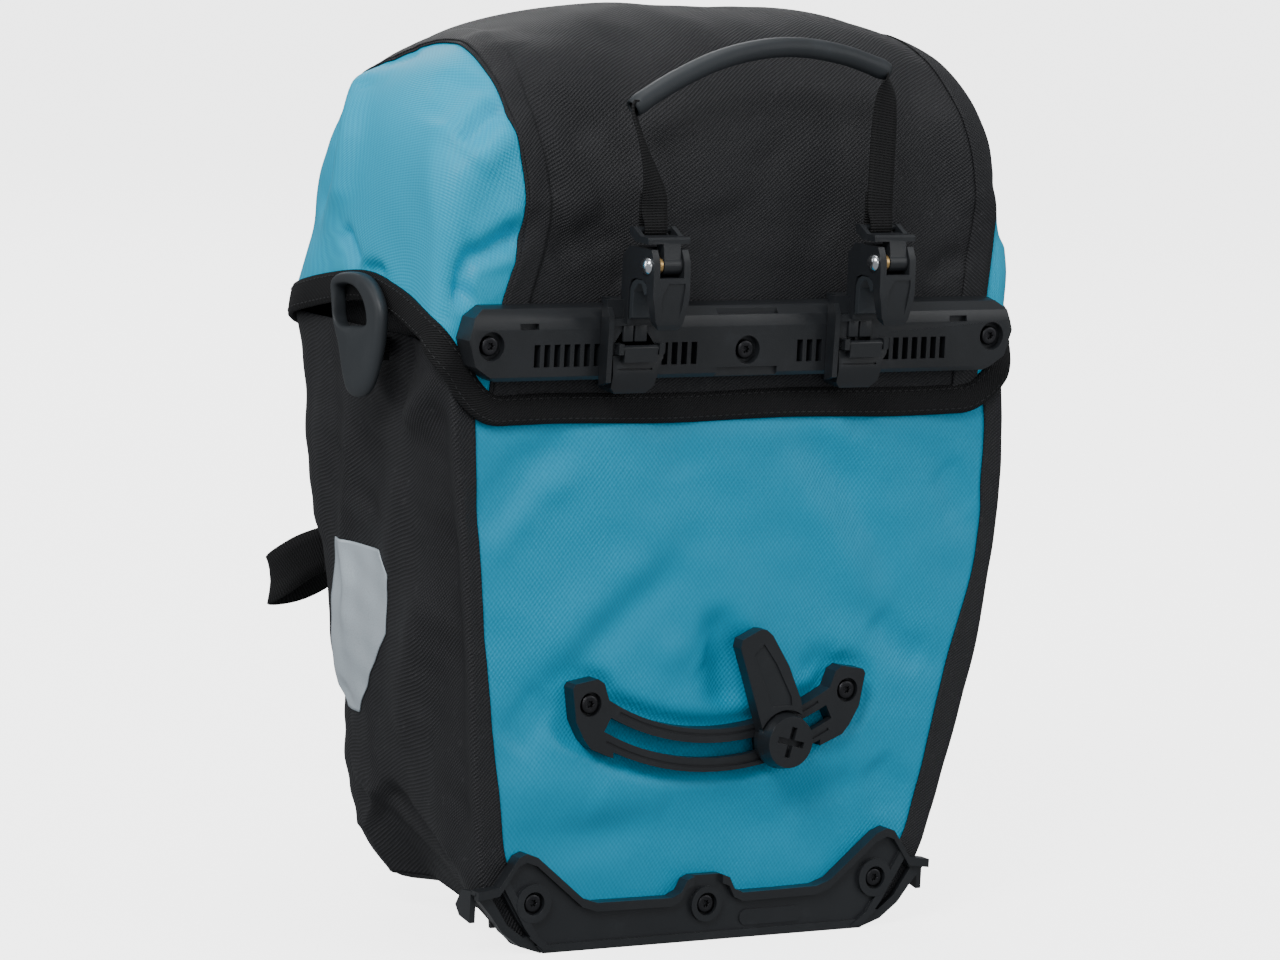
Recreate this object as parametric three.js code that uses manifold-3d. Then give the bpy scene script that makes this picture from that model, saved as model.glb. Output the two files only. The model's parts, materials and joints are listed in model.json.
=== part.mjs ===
// A hook-on bicycle pannier bag: fabric body, hooded lid, hook rail with two clamp hooks and a carrying
// handle, curved lower rail with a swivelling fin, and a bottom protector.
// Millimetres, +Z up. The rack side faces -Y, the street side +Y, and X runs along the rack.
// The origin lies under the bottom protector, below the middle of the back panel's outer face.
import * as THREE from "three";
import { mergeVertices } from "three/addons/utils/BufferGeometryUtils.js";
import Module from "manifold-3d";

// ---------------------------------------------------------------- driving dimensions
const gap = 0.3; // between pieces that touch
const runningGap = 0.35; // between pieces that move on each other

const bag = {
  bottomHalfWidth: 121,
  rimHalfWidth: 154,
  bottomDepth: 124,
  rimDepth: 158,
  rimHeight: 288,
  floorHeight: 2.6, // top of the floor panel's rear step
  wall: 2.2,
};
const board = { thickness: 2, margin: 6, bottom: 12 };
const collar = { narrowing: 32, shallowing: 58, headroom: 66, wall: 1.6, cordRadius: 1.8 };
const lid = {
  overhang: 7, // past the bag's rim at each side
  frontOverhang: 8,
  top: 440,
  domeStart: 342,
  wall: 2.2,
  frontHem: 284,
  seamHalfWidth: 108,
  hingeHeight: 355,
  cornerRadius: 9,
};
const band = { bottom: 261, reach: 44, sideHem: 300 }; // the fixed rear part of the lid's fabric

const rail = {
  halfLength: 152,
  bottom: 273.4,
  height: 34.6,
  depth: 12.7,
  screwX: 140,
  screwHeight: 290,
  centreScrewHeight: 286,
  recessRadius: 6.8,
};
const vent = { width: 3.1, height: 10.5, pitch: 5.4, bottom: 279.8, depth: 6 };
const ventGroups = [
  { first: -115.5, count: 8 },
  { first: -46, count: 4 },
  { first: 29.5, count: 5 },
  { first: 79, count: 7 },
];
const screw = { shankRadius: 2, headRadius: 4.6, headHeight: 2.4, socketRadius: 1.9, socketDepth: 1.5 };

const hook = {
  spacing: 125.8, // between the two hooks' middles
  halfWidth: 10,
  gapDepth: 16, // the clear depth for a rack tube before the insert
  armThickness: 6.5,
  noseThickness: 5,
  noseBottom: 299.7,
  top: 337,
  roof: 322.5,
  slotHalfWidth: 6.5,
  insert: 2.2,
};
const pivot = { y: -39.6, z: 329.4, radius: 2, headRadius: 4.2, headHeight: 2.6 };
const lever = {
  barrelRadius: 4.4,
  barHalfWidth: 11.5,
  barTop: 342.5,
  barHeight: 3,
  eyeRadius: 1.5, // the round bar that the handle's webbing loops over
  eyeOffset: 13.2, // behind the pivot
  eyeRise: 15.1, // above the pivot
};
const clamp = { left: 19, right: 14, thickness: 4.6, bottom: 285.9, clawReach: 9 };
const latch = { bottom: 267, top: 285.4, thickness: 4.6, pinHeight: 288.6, pinRadius: 1.8 };

const handle = {
  webbing: 14, // width
  thickness: 2,
  gripRadius: 5.4,
  archTop: 427,
  shoulder: 405,
  lean: 8, // how far the grip stands behind the bars
  gripHalfLength: 66,
  flatFoot: 16, // from the bar up to the twist in each leg
};

const arc = {
  centreHeight: 226,
  radius: 133, // of the slot's middle
  slotWidth: 7.4,
  bandWidth: 20.6,
  thickness: 8.7,
  slotHalfAngle: 29.5,
  screwX: 72.4,
  screwHeight: 118.7,
  lobeTop: 130.6,
  channelDepth: 4.5,
  channelWidth: 13,
};
const fin = { angle: 14.5, baseRadius: 13.4, baseThickness: 3.6 };
const knob = { radius: 14.2, topRadius: 12.4, height: 8, slotWidth: 3, slotLength: 15, slotDepth: 3 };

const guard = {
  plate: 4.4,
  rim: 2.8,
  rimWidth: 4.2,
  edgeHeight: 22.3,
  peakX: 101,
  peakHeight: 48.8,
  tipHeight: 31.5,
  lipDepth: 24,
  lip: 2,
  wingReach: 13,
  screwX: 96.6,
  screwHeight: 24.5,
  centreScrewHeight: 17.9,
};

const sideHook = {
  y: 62,
  top: 315,
  bottom: 257,
  thickness: 7.4,
  topHalfWidth: 25,
  bottomHalfWidth: 11,
  tabTop: 286,
};
const strap = { width: 25, thickness: 1.4, crossHeight: 172, loopReach: 42 };
const buckle = { halfWidth: 19, depth: 9, socketBottom: 214, socketTop: 244, plugTop: 268 };
const reflector = { y: 94, bottom: 97, top: 182.3, halfWidth: 30, thickness: 0.9 };
const cordLock = { radius: 7.5, height: 17, buttonRadius: 5.2, buttonHeight: 9 };

// ---------------------------------------------------------------- materials
const finish = (color, roughness, metalness = 0) =>
  new THREE.MeshStandardMaterial({ color, roughness, metalness });
const blueFabric = finish("#2f93b4", 0.5);
const blackFabric = finish("#2a292c", 0.75);
const webbingCloth = finish("#1b1b1d", 0.85);
const hardPlastic = finish("#303236", 0.5);
const softGrip = finish("#3d4145", 0.6);
const boardPlastic = finish("#3a3a3c", 0.7);
const steel = finish("#c3c6c9", 0.25, 0.9);
const darkSteel = finish("#2c2d30", 0.4, 0.7);
const brass = finish("#b3813a", 0.35, 0.9);
const reflectiveFilm = finish("#a9b6be", 0.45);

// ---------------------------------------------------------------- solids
const wasm = await Module();
wasm.setup();

function solid(geometry) {
  const bare = geometry.index ? geometry.toNonIndexed() : geometry.clone();
  bare.deleteAttribute("normal");
  bare.deleteAttribute("uv");
  const merged = mergeVertices(bare, 1e-4);
  const mesh = new wasm.Mesh({
    numProp: 3,
    vertProperties: new Float32Array(merged.attributes.position.array),
    triVerts: new Uint32Array(merged.index.array),
  });
  return new wasm.Manifold(mesh);
}

const join = (first, ...rest) => rest.reduce((sum, piece) => sum.add(piece), first);
const cut = (first, ...rest) => rest.reduce((left, piece) => left.subtract(piece), first);
const common = (first, ...rest) => rest.reduce((left, piece) => left.intersect(piece), first);

const finest = 0.005; // edges shorter than this are closed up after a cut

function geometryOf(body) {
  const { numProp, numVert, vertProperties, triVerts } = body.simplify(finest).getMesh();
  const position = new Float32Array(numVert * 3);
  for (let i = 0; i < numVert; i++)
    position.set(vertProperties.subarray(i * numProp, i * numProp + 3), i * 3);
  return new THREE.BufferGeometry()
    .setAttribute("position", new THREE.BufferAttribute(position, 3))
    .setIndex(new THREE.BufferAttribute(new Uint32Array(triVerts), 1))
    .toNonIndexed();
}

const model = new THREE.Group();
function add(name, body, material) {
  const geometry = geometryOf(body);
  geometry.computeVertexNormals();
  const mesh = new THREE.Mesh(geometry, material);
  mesh.name = name;
  model.add(mesh);
  return body;
}

// An axis-aligned block between two corners given as ranges.
const block = (x0, x1, y0, y1, z0, z1) =>
  solid(
    new THREE.BoxGeometry(x1 - x0, y1 - y0, z1 - z0).translate((x0 + x1) / 2, (y0 + y1) / 2, (z0 + z1) / 2),
  );

const polygon = (points) => new THREE.Shape(points.map(([u, v]) => new THREE.Vector2(u, v)));
const mirrored = (points) => [...points, ...points.map(([u, v]) => [-u, v]).reverse()];
const extruded = (shape, depth, curveSegments) =>
  new THREE.ExtrudeGeometry(shape, { depth, bevelEnabled: false, steps: 1, curveSegments });

// A shape drawn in X and Z, as thick as from y0 to y1.
const plate = (shape, y0, y1, curveSegments = 8) =>
  solid(extruded(shape, y1 - y0, curveSegments).rotateX(Math.PI / 2).translate(0, y1, 0));

// A shape drawn in Y and Z, as wide as from x0 to x1.
const yzToWorld = new THREE.Matrix4().makeBasis(
  new THREE.Vector3(0, 1, 0),
  new THREE.Vector3(0, 0, 1),
  new THREE.Vector3(1, 0, 0),
);
const profile = (shape, x0, x1, curveSegments = 8) =>
  solid(extruded(shape, x1 - x0, curveSegments).applyMatrix4(yzToWorld).translate(x0, 0, 0));

// A shape drawn in X and Y, as tall as from z0 to z1.
const slab = (shape, z0, z1, curveSegments = 8) =>
  solid(extruded(shape, z1 - z0, curveSegments).translate(0, 0, z0));

// A round bar along Y through (x, z).
const barY = (x, z, radius, y0, y1, sides = 16, endRadius = radius) =>
  solid(new THREE.CylinderGeometry(radius, endRadius, y1 - y0, sides).translate(x, (y0 + y1) / 2, z));

// A round bar along X through (y, z).
const barX = (y, z, radius, x0, x1, sides = 16) =>
  solid(new THREE.CylinderGeometry(radius, radius, x1 - x0, sides).rotateZ(Math.PI / 2)
    .translate((x0 + x1) / 2, y, z));

// A closed solid through rings of points that all have the same count, from the lowest ring up.
function loft(rings) {
  const count = rings[0].length;
  const middles = [rings[0], rings[rings.length - 1]].map((ring) =>
    ring.reduce((sum, p) => sum.add(p), new THREE.Vector3()).divideScalar(count),
  );
  const points = [...rings.flat(), ...middles];
  const triangles = [];
  const foot = rings.length * count;
  const last = foot - count;
  for (let i = 0; i < count; i++) {
    const j = (i + 1) % count;
    triangles.push(foot, j, i, foot + 1, last + i, last + j);
    for (let r = 0; r < last; r += count)
      triangles.push(r + i, r + j, r + count + j, r + i, r + count + j, r + count + i);
  }
  let volume = 0;
  for (let i = 0; i < triangles.length; i += 3) {
    const [a, b, c] = triangles.slice(i, i + 3).map((k) => points[k]);
    volume += a.dot(b.clone().cross(c));
  }
  if (volume < 0) triangles.reverse();
  return solid(new THREE.BufferGeometry().setFromPoints(points).setIndex(triangles));
}

// One level ring of a rounded rectangle, counter-clockwise seen from above.
function levelRing(halfWidth, back, front, radius, z, perCorner) {
  const ring = [];
  const corners = [
    [halfWidth, front],
    [-halfWidth, front],
    [-halfWidth, back],
    [halfWidth, back],
  ];
  const r = Math.min(radius, halfWidth * 0.95, (front - back) * 0.475);
  corners.forEach(([x, y], k) => {
    const cx = x - Math.sign(x) * r;
    const cy = y + (y === front ? -r : r);
    for (let i = 0; i <= perCorner; i++) {
      const a = ((k + i / perCorner) * Math.PI) / 2;
      ring.push(new THREE.Vector3(cx + r * Math.cos(a), cy + r * Math.sin(a), z));
    }
  });
  return ring;
}

// A flat strip of even thickness along a line of [u, v] points, as a shape.
function strip(points, thickness) {
  const left = [];
  const right = [];
  points.forEach((p, i) => {
    const before = points[Math.max(i - 1, 0)];
    const after = points[Math.min(i + 1, points.length - 1)];
    const length = Math.hypot(after[0] - before[0], after[1] - before[1]);
    const nu = (-(after[1] - before[1]) / length) * (thickness / 2);
    const nv = ((after[0] - before[0]) / length) * (thickness / 2);
    left.push([p[0] + nu, p[1] + nv]);
    right.unshift([p[0] - nu, p[1] - nv]);
  });
  return polygon([...left, ...right]);
}

const smooth = (points, count) =>
  new THREE.SplineCurve(points.map(([u, v]) => new THREE.Vector2(u,
    v))).getPoints(count).map((p) => [p.x, p.y]);

const roundedRect = (u0, u1, v0, v1, r) => {
  const shape = new THREE.Shape();
  shape.moveTo(u0 + r, v0).lineTo(u1 - r, v0).absarc(u1 - r, v0 + r, r, -Math.PI / 2, 0, false);
  shape.lineTo(u1, v1 - r).absarc(u1 - r, v1 - r, r, 0, Math.PI / 2, false);
  shape.lineTo(u0 + r, v1).absarc(u0 + r, v1 - r, r, Math.PI / 2, Math.PI, false);
  return shape.lineTo(u0, v0 + r).absarc(u0 + r, v0 + r, r, Math.PI, 1.5 * Math.PI, false);
};

// ---------------------------------------------------------------- shared places
const share = (z) => z / bag.rimHeight;
const halfWidthAt = (z) => bag.bottomHalfWidth + (bag.rimHalfWidth - bag.bottomHalfWidth) * share(z);
const depthAt = (z) => bag.bottomDepth + (bag.rimDepth - bag.bottomDepth) * share(z);

const bandBack = -lid.wall - 2 * gap; // outer face of the lid's fabric at the rack side
const railBack = bandBack - gap;
const railFront = railBack - rail.depth;
const railTop = rail.bottom + rail.height;
const boardFace = bag.wall + gap + board.thickness;
const stripFace = boardFace + gap + 2;
const screwEnd = stripFace + 2.5;
const hookX = hook.spacing / 2;
const arcBack = -gap;
const arcFront = arcBack - arc.thickness;

// A screw seen from the rack side: its head's back face sits at seat.
const screwHole = (x, z, seat) => barY(x, z, screw.shankRadius + gap, seat, screwEnd + 1, 12);
function screwBody(x, z, seat, end = screwEnd) {
  const front = seat - screw.headHeight;
  const head = barY(x, z, screw.headRadius, front, seat, 20, screw.headRadius - 1.1);
  const shank = barY(x, z, screw.shankRadius, seat - 1, end, 12);
  const socket = barY(x, z, screw.socketRadius, front - 1, front + screw.socketDepth, 6);
  return cut(join(head, shank), socket);
}

const railSeat = railFront + 3.6;
const arcSeat = arcFront + 2.6;
const guardSeat = -gap - guard.plate + 1;
const railScrews = [
  ["left", -rail.screwX, rail.screwHeight],
  ["centre", 0, rail.centreScrewHeight],
  ["right", rail.screwX, rail.screwHeight],
];
const arcScrews = [
  ["left", -arc.screwX, arc.screwHeight],
  ["right", arc.screwX, arc.screwHeight],
];
const guardScrews = [
  ["left", -guard.screwX, guard.screwHeight],
  ["centre", 0, guard.centreScrewHeight],
  ["right", guard.screwX, guard.screwHeight],
];
const wallHoles = [...railScrews, ...arcScrews, ...guardScrews].map(([, x, z]) => screwHole(x, z, -40));

const lidHalfWidth = bag.rimHalfWidth + lid.overhang;
const lidFrontDepth = bag.rimDepth + lid.frontOverhang;
const collarTop = lid.top - collar.headroom;

// ---------------------------------------------------------------- bag body
function wallBetween(corners, thickness, direction) {
  const inner = corners.map((p) => p.clone().addScaledVector(direction, thickness));
  return loft([corners, inner]);
}

function bagBody() {
  const low = bag.floorHeight + gap;
  const high = bag.rimHeight;
  const at = (x, y, z) => new THREE.Vector3(x, y, z);
  const back = wallBetween(
    [at(-halfWidthAt(low), 0, low), at(halfWidthAt(low), 0, low), at(halfWidthAt(high), 0, high),
      at(-halfWidthAt(high), 0, high)],
    bag.wall,
    at(0, 1, 0),
  );
  add("back_panel", cut(back, ...wallHoles), blueFabric);
  for (const [name, side] of [["left", -1], ["right", 1]]) {
    const edge = bag.wall + gap;
    const corners = [
      at(side * halfWidthAt(low), edge, low),
      at(side * halfWidthAt(low), depthAt(low) - edge, low),
      at(side * halfWidthAt(high), depthAt(high) - edge, high),
      at(side * halfWidthAt(high), edge, high),
    ];
    if (side > 0) corners.reverse();
    add("side_panel_" + name, wallBetween(corners, bag.wall, at(-side, 0, 0)), blackFabric);
  }
  const front = wallBetween(
    [at(halfWidthAt(low), depthAt(low), low), at(-halfWidthAt(low), depthAt(low), low),
      at(-halfWidthAt(high), depthAt(high), high), at(halfWidthAt(high), depthAt(high), high)],
    bag.wall,
    at(0, -1, 0),
  );
  add("front_panel", front, blackFabric);
  const rear = block(-halfWidthAt(0), halfWidthAt(0), 0, guard.lipDepth + 6, guard.lip + gap,
    bag.floorHeight);
  const main = slab(
    roundedRect(-halfWidthAt(0), halfWidthAt(0), guard.lipDepth + gap, depthAt(0), 12),
    0,
    bag.floorHeight,
    3,
  );
  add("bottom_panel", join(rear, main), blackFabric);
}

function innerParts() {
  const inset = board.margin;
  const edge = (z) => halfWidthAt(z) - bag.wall - inset;
  const top = rail.bottom + rail.height - inset;
  const outline = polygon([
    [-edge(board.bottom), board.bottom], [edge(board.bottom), board.bottom], [edge(top), top],
    [-edge(top), top],
  ]);
  const back = bag.wall + gap;
  add("back_board", cut(plate(outline, back, boardFace), ...wallHoles), boardPlastic);
  const near = (list) => list.map(([, x, z]) => screwHole(x, z, -40));
  const y0 = boardFace + gap;
  const reach = rail.screwX + 8;
  const railStrip = plate(roundedRect(-reach, reach, rail.screwHeight - 13, rail.screwHeight + 9, 6),
    y0, stripFace, 3);
  const arcStrip = plate(
    roundedRect(-arc.screwX - 9, arc.screwX + 9, arc.screwHeight - 8, arc.screwHeight + 8, 6), y0,
      stripFace, 3);
  const guardReach = guard.screwX + 8;
  const guardStrip = plate(
    roundedRect(-guardReach, guardReach, board.bottom, guard.screwHeight + 7, 5), y0, stripFace, 3);
  add("rail_backing_strip", cut(railStrip, ...near(railScrews)), boardPlastic);
  add("arc_backing_strip", cut(arcStrip, ...near(arcScrews)), boardPlastic);
  add("guard_backing_strip", cut(guardStrip, ...near(guardScrews)), boardPlastic);
}

// The skirt above the rim that a cord draws shut under the lid.
const collarMiddle = bag.rimDepth / 2;
function collarRing(share, inset, z) {
  const mix = (a, b) => a + (b - a) * share;
  const halfDepth = mix(bag.rimDepth / 2 - bag.wall - 10, (bag.rimDepth - collar.shallowing) / 2) - inset;
  const halfWidth = mix(bag.rimHalfWidth - bag.wall - 4, bag.rimHalfWidth - collar.narrowing) - inset;
  return levelRing(halfWidth, collarMiddle - halfDepth, collarMiddle + halfDepth, 24, z, 4);
}
function collarParts() {
  const low = bag.rimHeight - 14;
  const bend = bag.rimHeight + 8;
  const outer = loft([collarRing(0, 0, low), collarRing(0.15, 0, bend), collarRing(1, 0, collarTop)]);
  const inner = loft([
    collarRing(0, collar.wall, low - 1),
    collarRing(0.15, collar.wall, bend),
    collarRing(1, collar.wall, collarTop + 1),
  ]);
  add("inner_collar", cut(outer, inner), blackFabric);
  const z0 = collarTop - 8 - collar.cordRadius;
  const drawn = z0 < bend ? (0.15 * (z0 - low)) / (bend - low) : 0.15 + (0.85 * (z0 - bend)) / (collarTop - bend);
  const skirt = collarRing(drawn, -gap, z0);
  const halfWidth = Math.max(...skirt.map((p) => p.x));
  const halfDepth = Math.max(...skirt.map((p) => p.y)) - collarMiddle;
  const tube = 2 * collar.cordRadius;
  const sheath = (grow, z) =>
    levelRing(halfWidth + grow, collarMiddle - halfDepth - grow, collarMiddle + halfDepth + grow,
      24 + grow, z, 4);
  const around = loft([sheath(tube, z0), sheath(tube, z0 + tube)]);
  add("collar_cord", cut(around, loft([sheath(0, z0 - 1), sheath(0, z0 + tube + 1)])), webbingCloth);
  const lockY = collarMiddle + halfDepth + tube + gap + cordLock.radius;
  const lockTop = z0 + cordLock.height - 2;
  const body = cut(
    solid(new THREE.CylinderGeometry(cordLock.radius, cordLock.radius, cordLock.height,
      20).rotateX(Math.PI / 2)
      .translate(0, lockY, lockTop - cordLock.height / 2)),
    solid(new THREE.CylinderGeometry(cordLock.buttonRadius + runningGap, cordLock.buttonRadius + runningGap,
      cordLock.height, 20).rotateX(Math.PI / 2).translate(0, lockY, lockTop - cordLock.height / 2 + 4)),
  );
  add("cord_lock_body", body, hardPlastic);
  const button = solid(new THREE.CylinderGeometry(cordLock.buttonRadius, cordLock.buttonRadius - 0.8,
    cordLock.height, 20).rotateX(-Math.PI / 2)
    .translate(0, lockY, lockTop - cordLock.height / 2 + 4 + cordLock.buttonHeight - 2));
  add("cord_lock_button", button, hardPlastic);
}

// ---------------------------------------------------------------- lid
const lidMiddle = (bandBack + lidFrontDepth) / 2;
function lidSolid(inset, low) {
  const levels = [low, lid.domeStart];
  const steps = 9;
  for (let i = 1; i <= steps; i++) levels.push(lid.domeStart + (lid.top - lid.domeStart) * Math.sin((i / steps) * 1.52));
  const rings = levels.map((z, i) => {
    const t = Math.max(0, (z - lid.domeStart) / (lid.top - lid.domeStart));
    const halfWidth = lidHalfWidth * (1 - t ** 3) ** 0.357 - inset;
    const halfDepth = ((lidFrontDepth - bandBack) / 2) * (1 - t ** 2.4) ** 0.571 - inset;
    const middle = lidMiddle - 6 * t;
    const corner = lid.cornerRadius + 30 * t - inset;
    const drop = i > 1 ? inset : 0;
    return levelRing(Math.max(halfWidth, 6), middle - Math.max(halfDepth, 5),
      middle + Math.max(halfDepth, 5),
      Math.max(corner, 4), z - drop, 4);
  });
  return loft(rings);
}

// The lid's moving fabric ends at a plane that runs down and forward from the hinge line.
const foldSlope = [
  [bandBack - 30, lid.hingeHeight],
  [bandBack, lid.hingeHeight],
  [band.reach, band.sideHem],
  [band.reach, lid.frontHem - 60],
  [bandBack - 30, lid.frontHem - 60],
];
const lidShell = cut(lidSolid(0, band.bottom), lidSolid(lid.wall, band.bottom - 5));
function lidParts() {
  const wide = lidHalfWidth + 20;
  const moving = cut(
    lidShell,
    profile(polygon(foldSlope), -wide, wide),
    block(-wide, wide, bandBack - 30, lidFrontDepth + 20, band.bottom - 5, lid.frontHem),
  );
  const lobeHem = profile(
    polygon([[band.reach - 1, 200], [lidFrontDepth - 24, 200], [lidFrontDepth - 24, lid.frontHem + 10],
      [band.reach - 1, band.sideHem]]), -wide, wide);
  const body = cut(moving, lobeHem);
  const tall = [bandBack - 20, lidFrontDepth + 20, band.bottom - 20, lid.top + 20];
  add("lid_centre_panel", common(body, block(-lid.seamHalfWidth, lid.seamHalfWidth, ...tall)), blackFabric);
  add("lid_side_left", common(body, block(-wide, -lid.seamHalfWidth - gap, ...tall)), blueFabric);
  add("lid_side_right", common(body, block(lid.seamHalfWidth + gap, wide, ...tall)), blueFabric);

  const anchorOutline = [
    [bandBack - 5, band.bottom], [7, band.bottom], [20, band.sideHem - 18], [band.reach, band.sideHem - 8],
    [band.reach, band.sideHem - gap], [bandBack, lid.hingeHeight - gap], [bandBack - 5,
    lid.hingeHeight - gap],
  ];
  const anchor = common(lidShell, profile(polygon(anchorOutline), -wide, wide));
  add("lid_anchor_band", cut(anchor, ...railScrews.map(([, x, z]) => screwHole(x, z, -40))), blackFabric);
}

// ---------------------------------------------------------------- hook rail
function hookRail() {
  const r = 15;
  const mid = rail.bottom + rail.height * 0.56;
  const ends = mirrored([
    [rail.halfLength - r, rail.bottom], [rail.halfLength - 4, rail.bottom + 7], [rail.halfLength, mid],
    [rail.halfLength - 3, railTop - 5], [rail.halfLength - 10, railTop],
  ]);
  const section = polygon([
    [railBack, rail.bottom], [railFront + 2, rail.bottom], [railFront, rail.bottom + 2],
    [railFront, railTop - 10.5], [railFront + 1, railTop - 5.5], [railFront + 4, railTop - 1.2],
    [railFront + 7, railTop], [railBack, railTop],
  ]);
  const long = rail.halfLength + 1;
  const body = common(profile(section, -long, long), plate(polygon(ends), railFront - 1, railBack));
  const cuts = [];
  for (const { first, count } of ventGroups)
    for (let i = 0; i < count; i++) {
      const x = first + i * vent.pitch;
      cuts.push(block(x - vent.width / 2, x + vent.width / 2, railFront - 1, railFront + vent.depth,
        vent.bottom,
        vent.bottom + vent.height));
    }
  for (const [, x, z] of railScrews) {
    cuts.push(barY(x, z, rail.recessRadius, railFront - 1, railSeat + gap, 20), screwHole(x, z, railFront));
  }
  for (const x of [-rail.halfLength + 32, rail.halfLength - 32])
    cuts.push(block(x - 5, x + 5, railFront - 1, railFront + 3, railTop - 10.6, railTop - 7.8));
  cuts.push(block(-17, 17, railFront - 1, railFront + 3.2, railTop - 5.2, railTop + 1));
  cuts.push(block(-17, 17, railFront - 1, railFront + 1.6, rail.bottom - 1, rail.bottom + 4.6));
  cuts.push(block(-long, long, railFront - 1, railFront + 0.5, railTop - 7.4, railTop - 6.6));
  add("hook_rail", cut(body, ...cuts), hardPlastic);
  for (const [name, x, z] of railScrews) add("rail_screw_" + name, screwBody(x, z, railSeat), darkSteel);
}

// ---------------------------------------------------------------- clamp hooks
const armBack = railFront - gap - 1.5;
const armFront = armBack - hook.armThickness;
const noseBack = armFront - hook.gapDepth;
const noseFront = noseBack - hook.noseThickness;
const plateBack = railFront - runningGap;
const plateFront = plateBack - clamp.thickness;

function hookBody(x) {
  const outline = polygon([
    [armBack, hook.noseBottom + 1], [armBack, hook.top - 5], [armBack - 5, hook.top], [noseFront + 3,
    hook.top],
    [noseFront, hook.top - 6], [noseFront - 0.6, hook.noseBottom + 12], [noseFront + 0.6,
    hook.noseBottom + 2.4],
    [noseFront + 2.4, hook.noseBottom], [noseBack, hook.noseBottom + 2.6], [noseBack, hook.roof - 5],
    [noseBack + 1.6, hook.roof - 1.4], [noseBack + 5, hook.roof], [armFront - 5, hook.roof],
    [armFront - 1.6, hook.roof - 1.4], [armFront, hook.roof - 5], [armFront, hook.noseBottom + 1],
  ]);
  const front = plate(
    polygon([
      [x - 4, hook.noseBottom - 1], [x + 5.5, hook.noseBottom - 1], [x + 7.6, hook.noseBottom + 3],
      [x + hook.halfWidth, hook.noseBottom + 15], [x + hook.halfWidth, hook.top + 1],
      [x - hook.halfWidth, hook.top + 1], [x - hook.halfWidth, hook.noseBottom + 16],
      [x - 7.4, hook.noseBottom + 4],
    ]),
    noseFront - 2,
    noseBack + 0.5,
  );
  const uncut = profile(outline, x - hook.halfWidth, x + hook.halfWidth);
  const rest = block(x - 20, x + 20, noseBack + 0.5, 0, hook.noseBottom - 5, hook.top + 5);
  const shaped = join(common(uncut, front), common(uncut, rest));
  const slot = block(x - hook.slotHalfWidth, x + hook.slotHalfWidth, noseFront - 3, noseBack + 9,
    pivot.z - lever.barrelRadius - 1, hook.top + 1);
  const bore = barX(pivot.y, pivot.z, pivot.radius + 0.1, x - 30, x + 30, 16);
  const panel = plate(
    polygon([[x - 3, hook.noseBottom + 4], [x + 5, hook.noseBottom + 4], [x + 7.4, hook.noseBottom + 19],
      [x + 7.4, pivot.z - 8], [x - 1.5, pivot.z - 8], [x - 4.6, pivot.z - 13], [x - 5.2,
      hook.noseBottom + 12]]),
    noseFront - 3,
    noseFront + 0.3,
  );
  const frame = block(x - clamp.left, x + clamp.right, plateFront, plateBack, clamp.bottom,
    railTop + runningGap + 3);
  const flange = profile(
    polygon([[plateBack, clamp.bottom - 15], [plateFront - 2, clamp.bottom - 13], [plateFront - 2.6,
      railTop - 4],
      [plateFront, railTop], [plateBack, railTop]]), x - clamp.left, x - clamp.left + 2.8);
  const claw = block(x - clamp.left + 5, x + clamp.right - 2, plateFront + 0.5, railFront + clamp.clawReach,
    railTop + runningGap, railTop + runningGap + 3);
  const ledge = block(x - clamp.left, x + clamp.right + 1, plateFront - 1.6, plateBack, railTop - 8.6,
    railTop - 5.2);
  const windowHole = block(x - 10.5, x + 3.2, plateFront - 3, plateBack + 1, clamp.bottom - 1,
    clamp.bottom + 10.4);
  const ribs = [-7.6, -3.4].map((dx) =>
    block(x + dx - 1, x + dx + 1, plateBack - 2.6, plateBack - 1.2, clamp.bottom + 3.4,
      clamp.bottom + 10.8));
  const lugs = [-12.6, 9.4].map((dx) =>
    cut(block(x + dx - 1.4, x + dx + 1.4, plateFront - 4.4, plateFront + 1, latch.pinHeight - 2.6,
      latch.pinHeight + 2.6), barX(plateFront - 2.2, latch.pinHeight, latch.pinRadius + 0.1, x - 20,
        x + 20, 12)));
  const lower = cut(join(frame, flange, claw, ledge), windowHole);
  return cut(join(cut(shaped, slot, panel), lower, ...ribs, ...lugs), bore);
}

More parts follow.
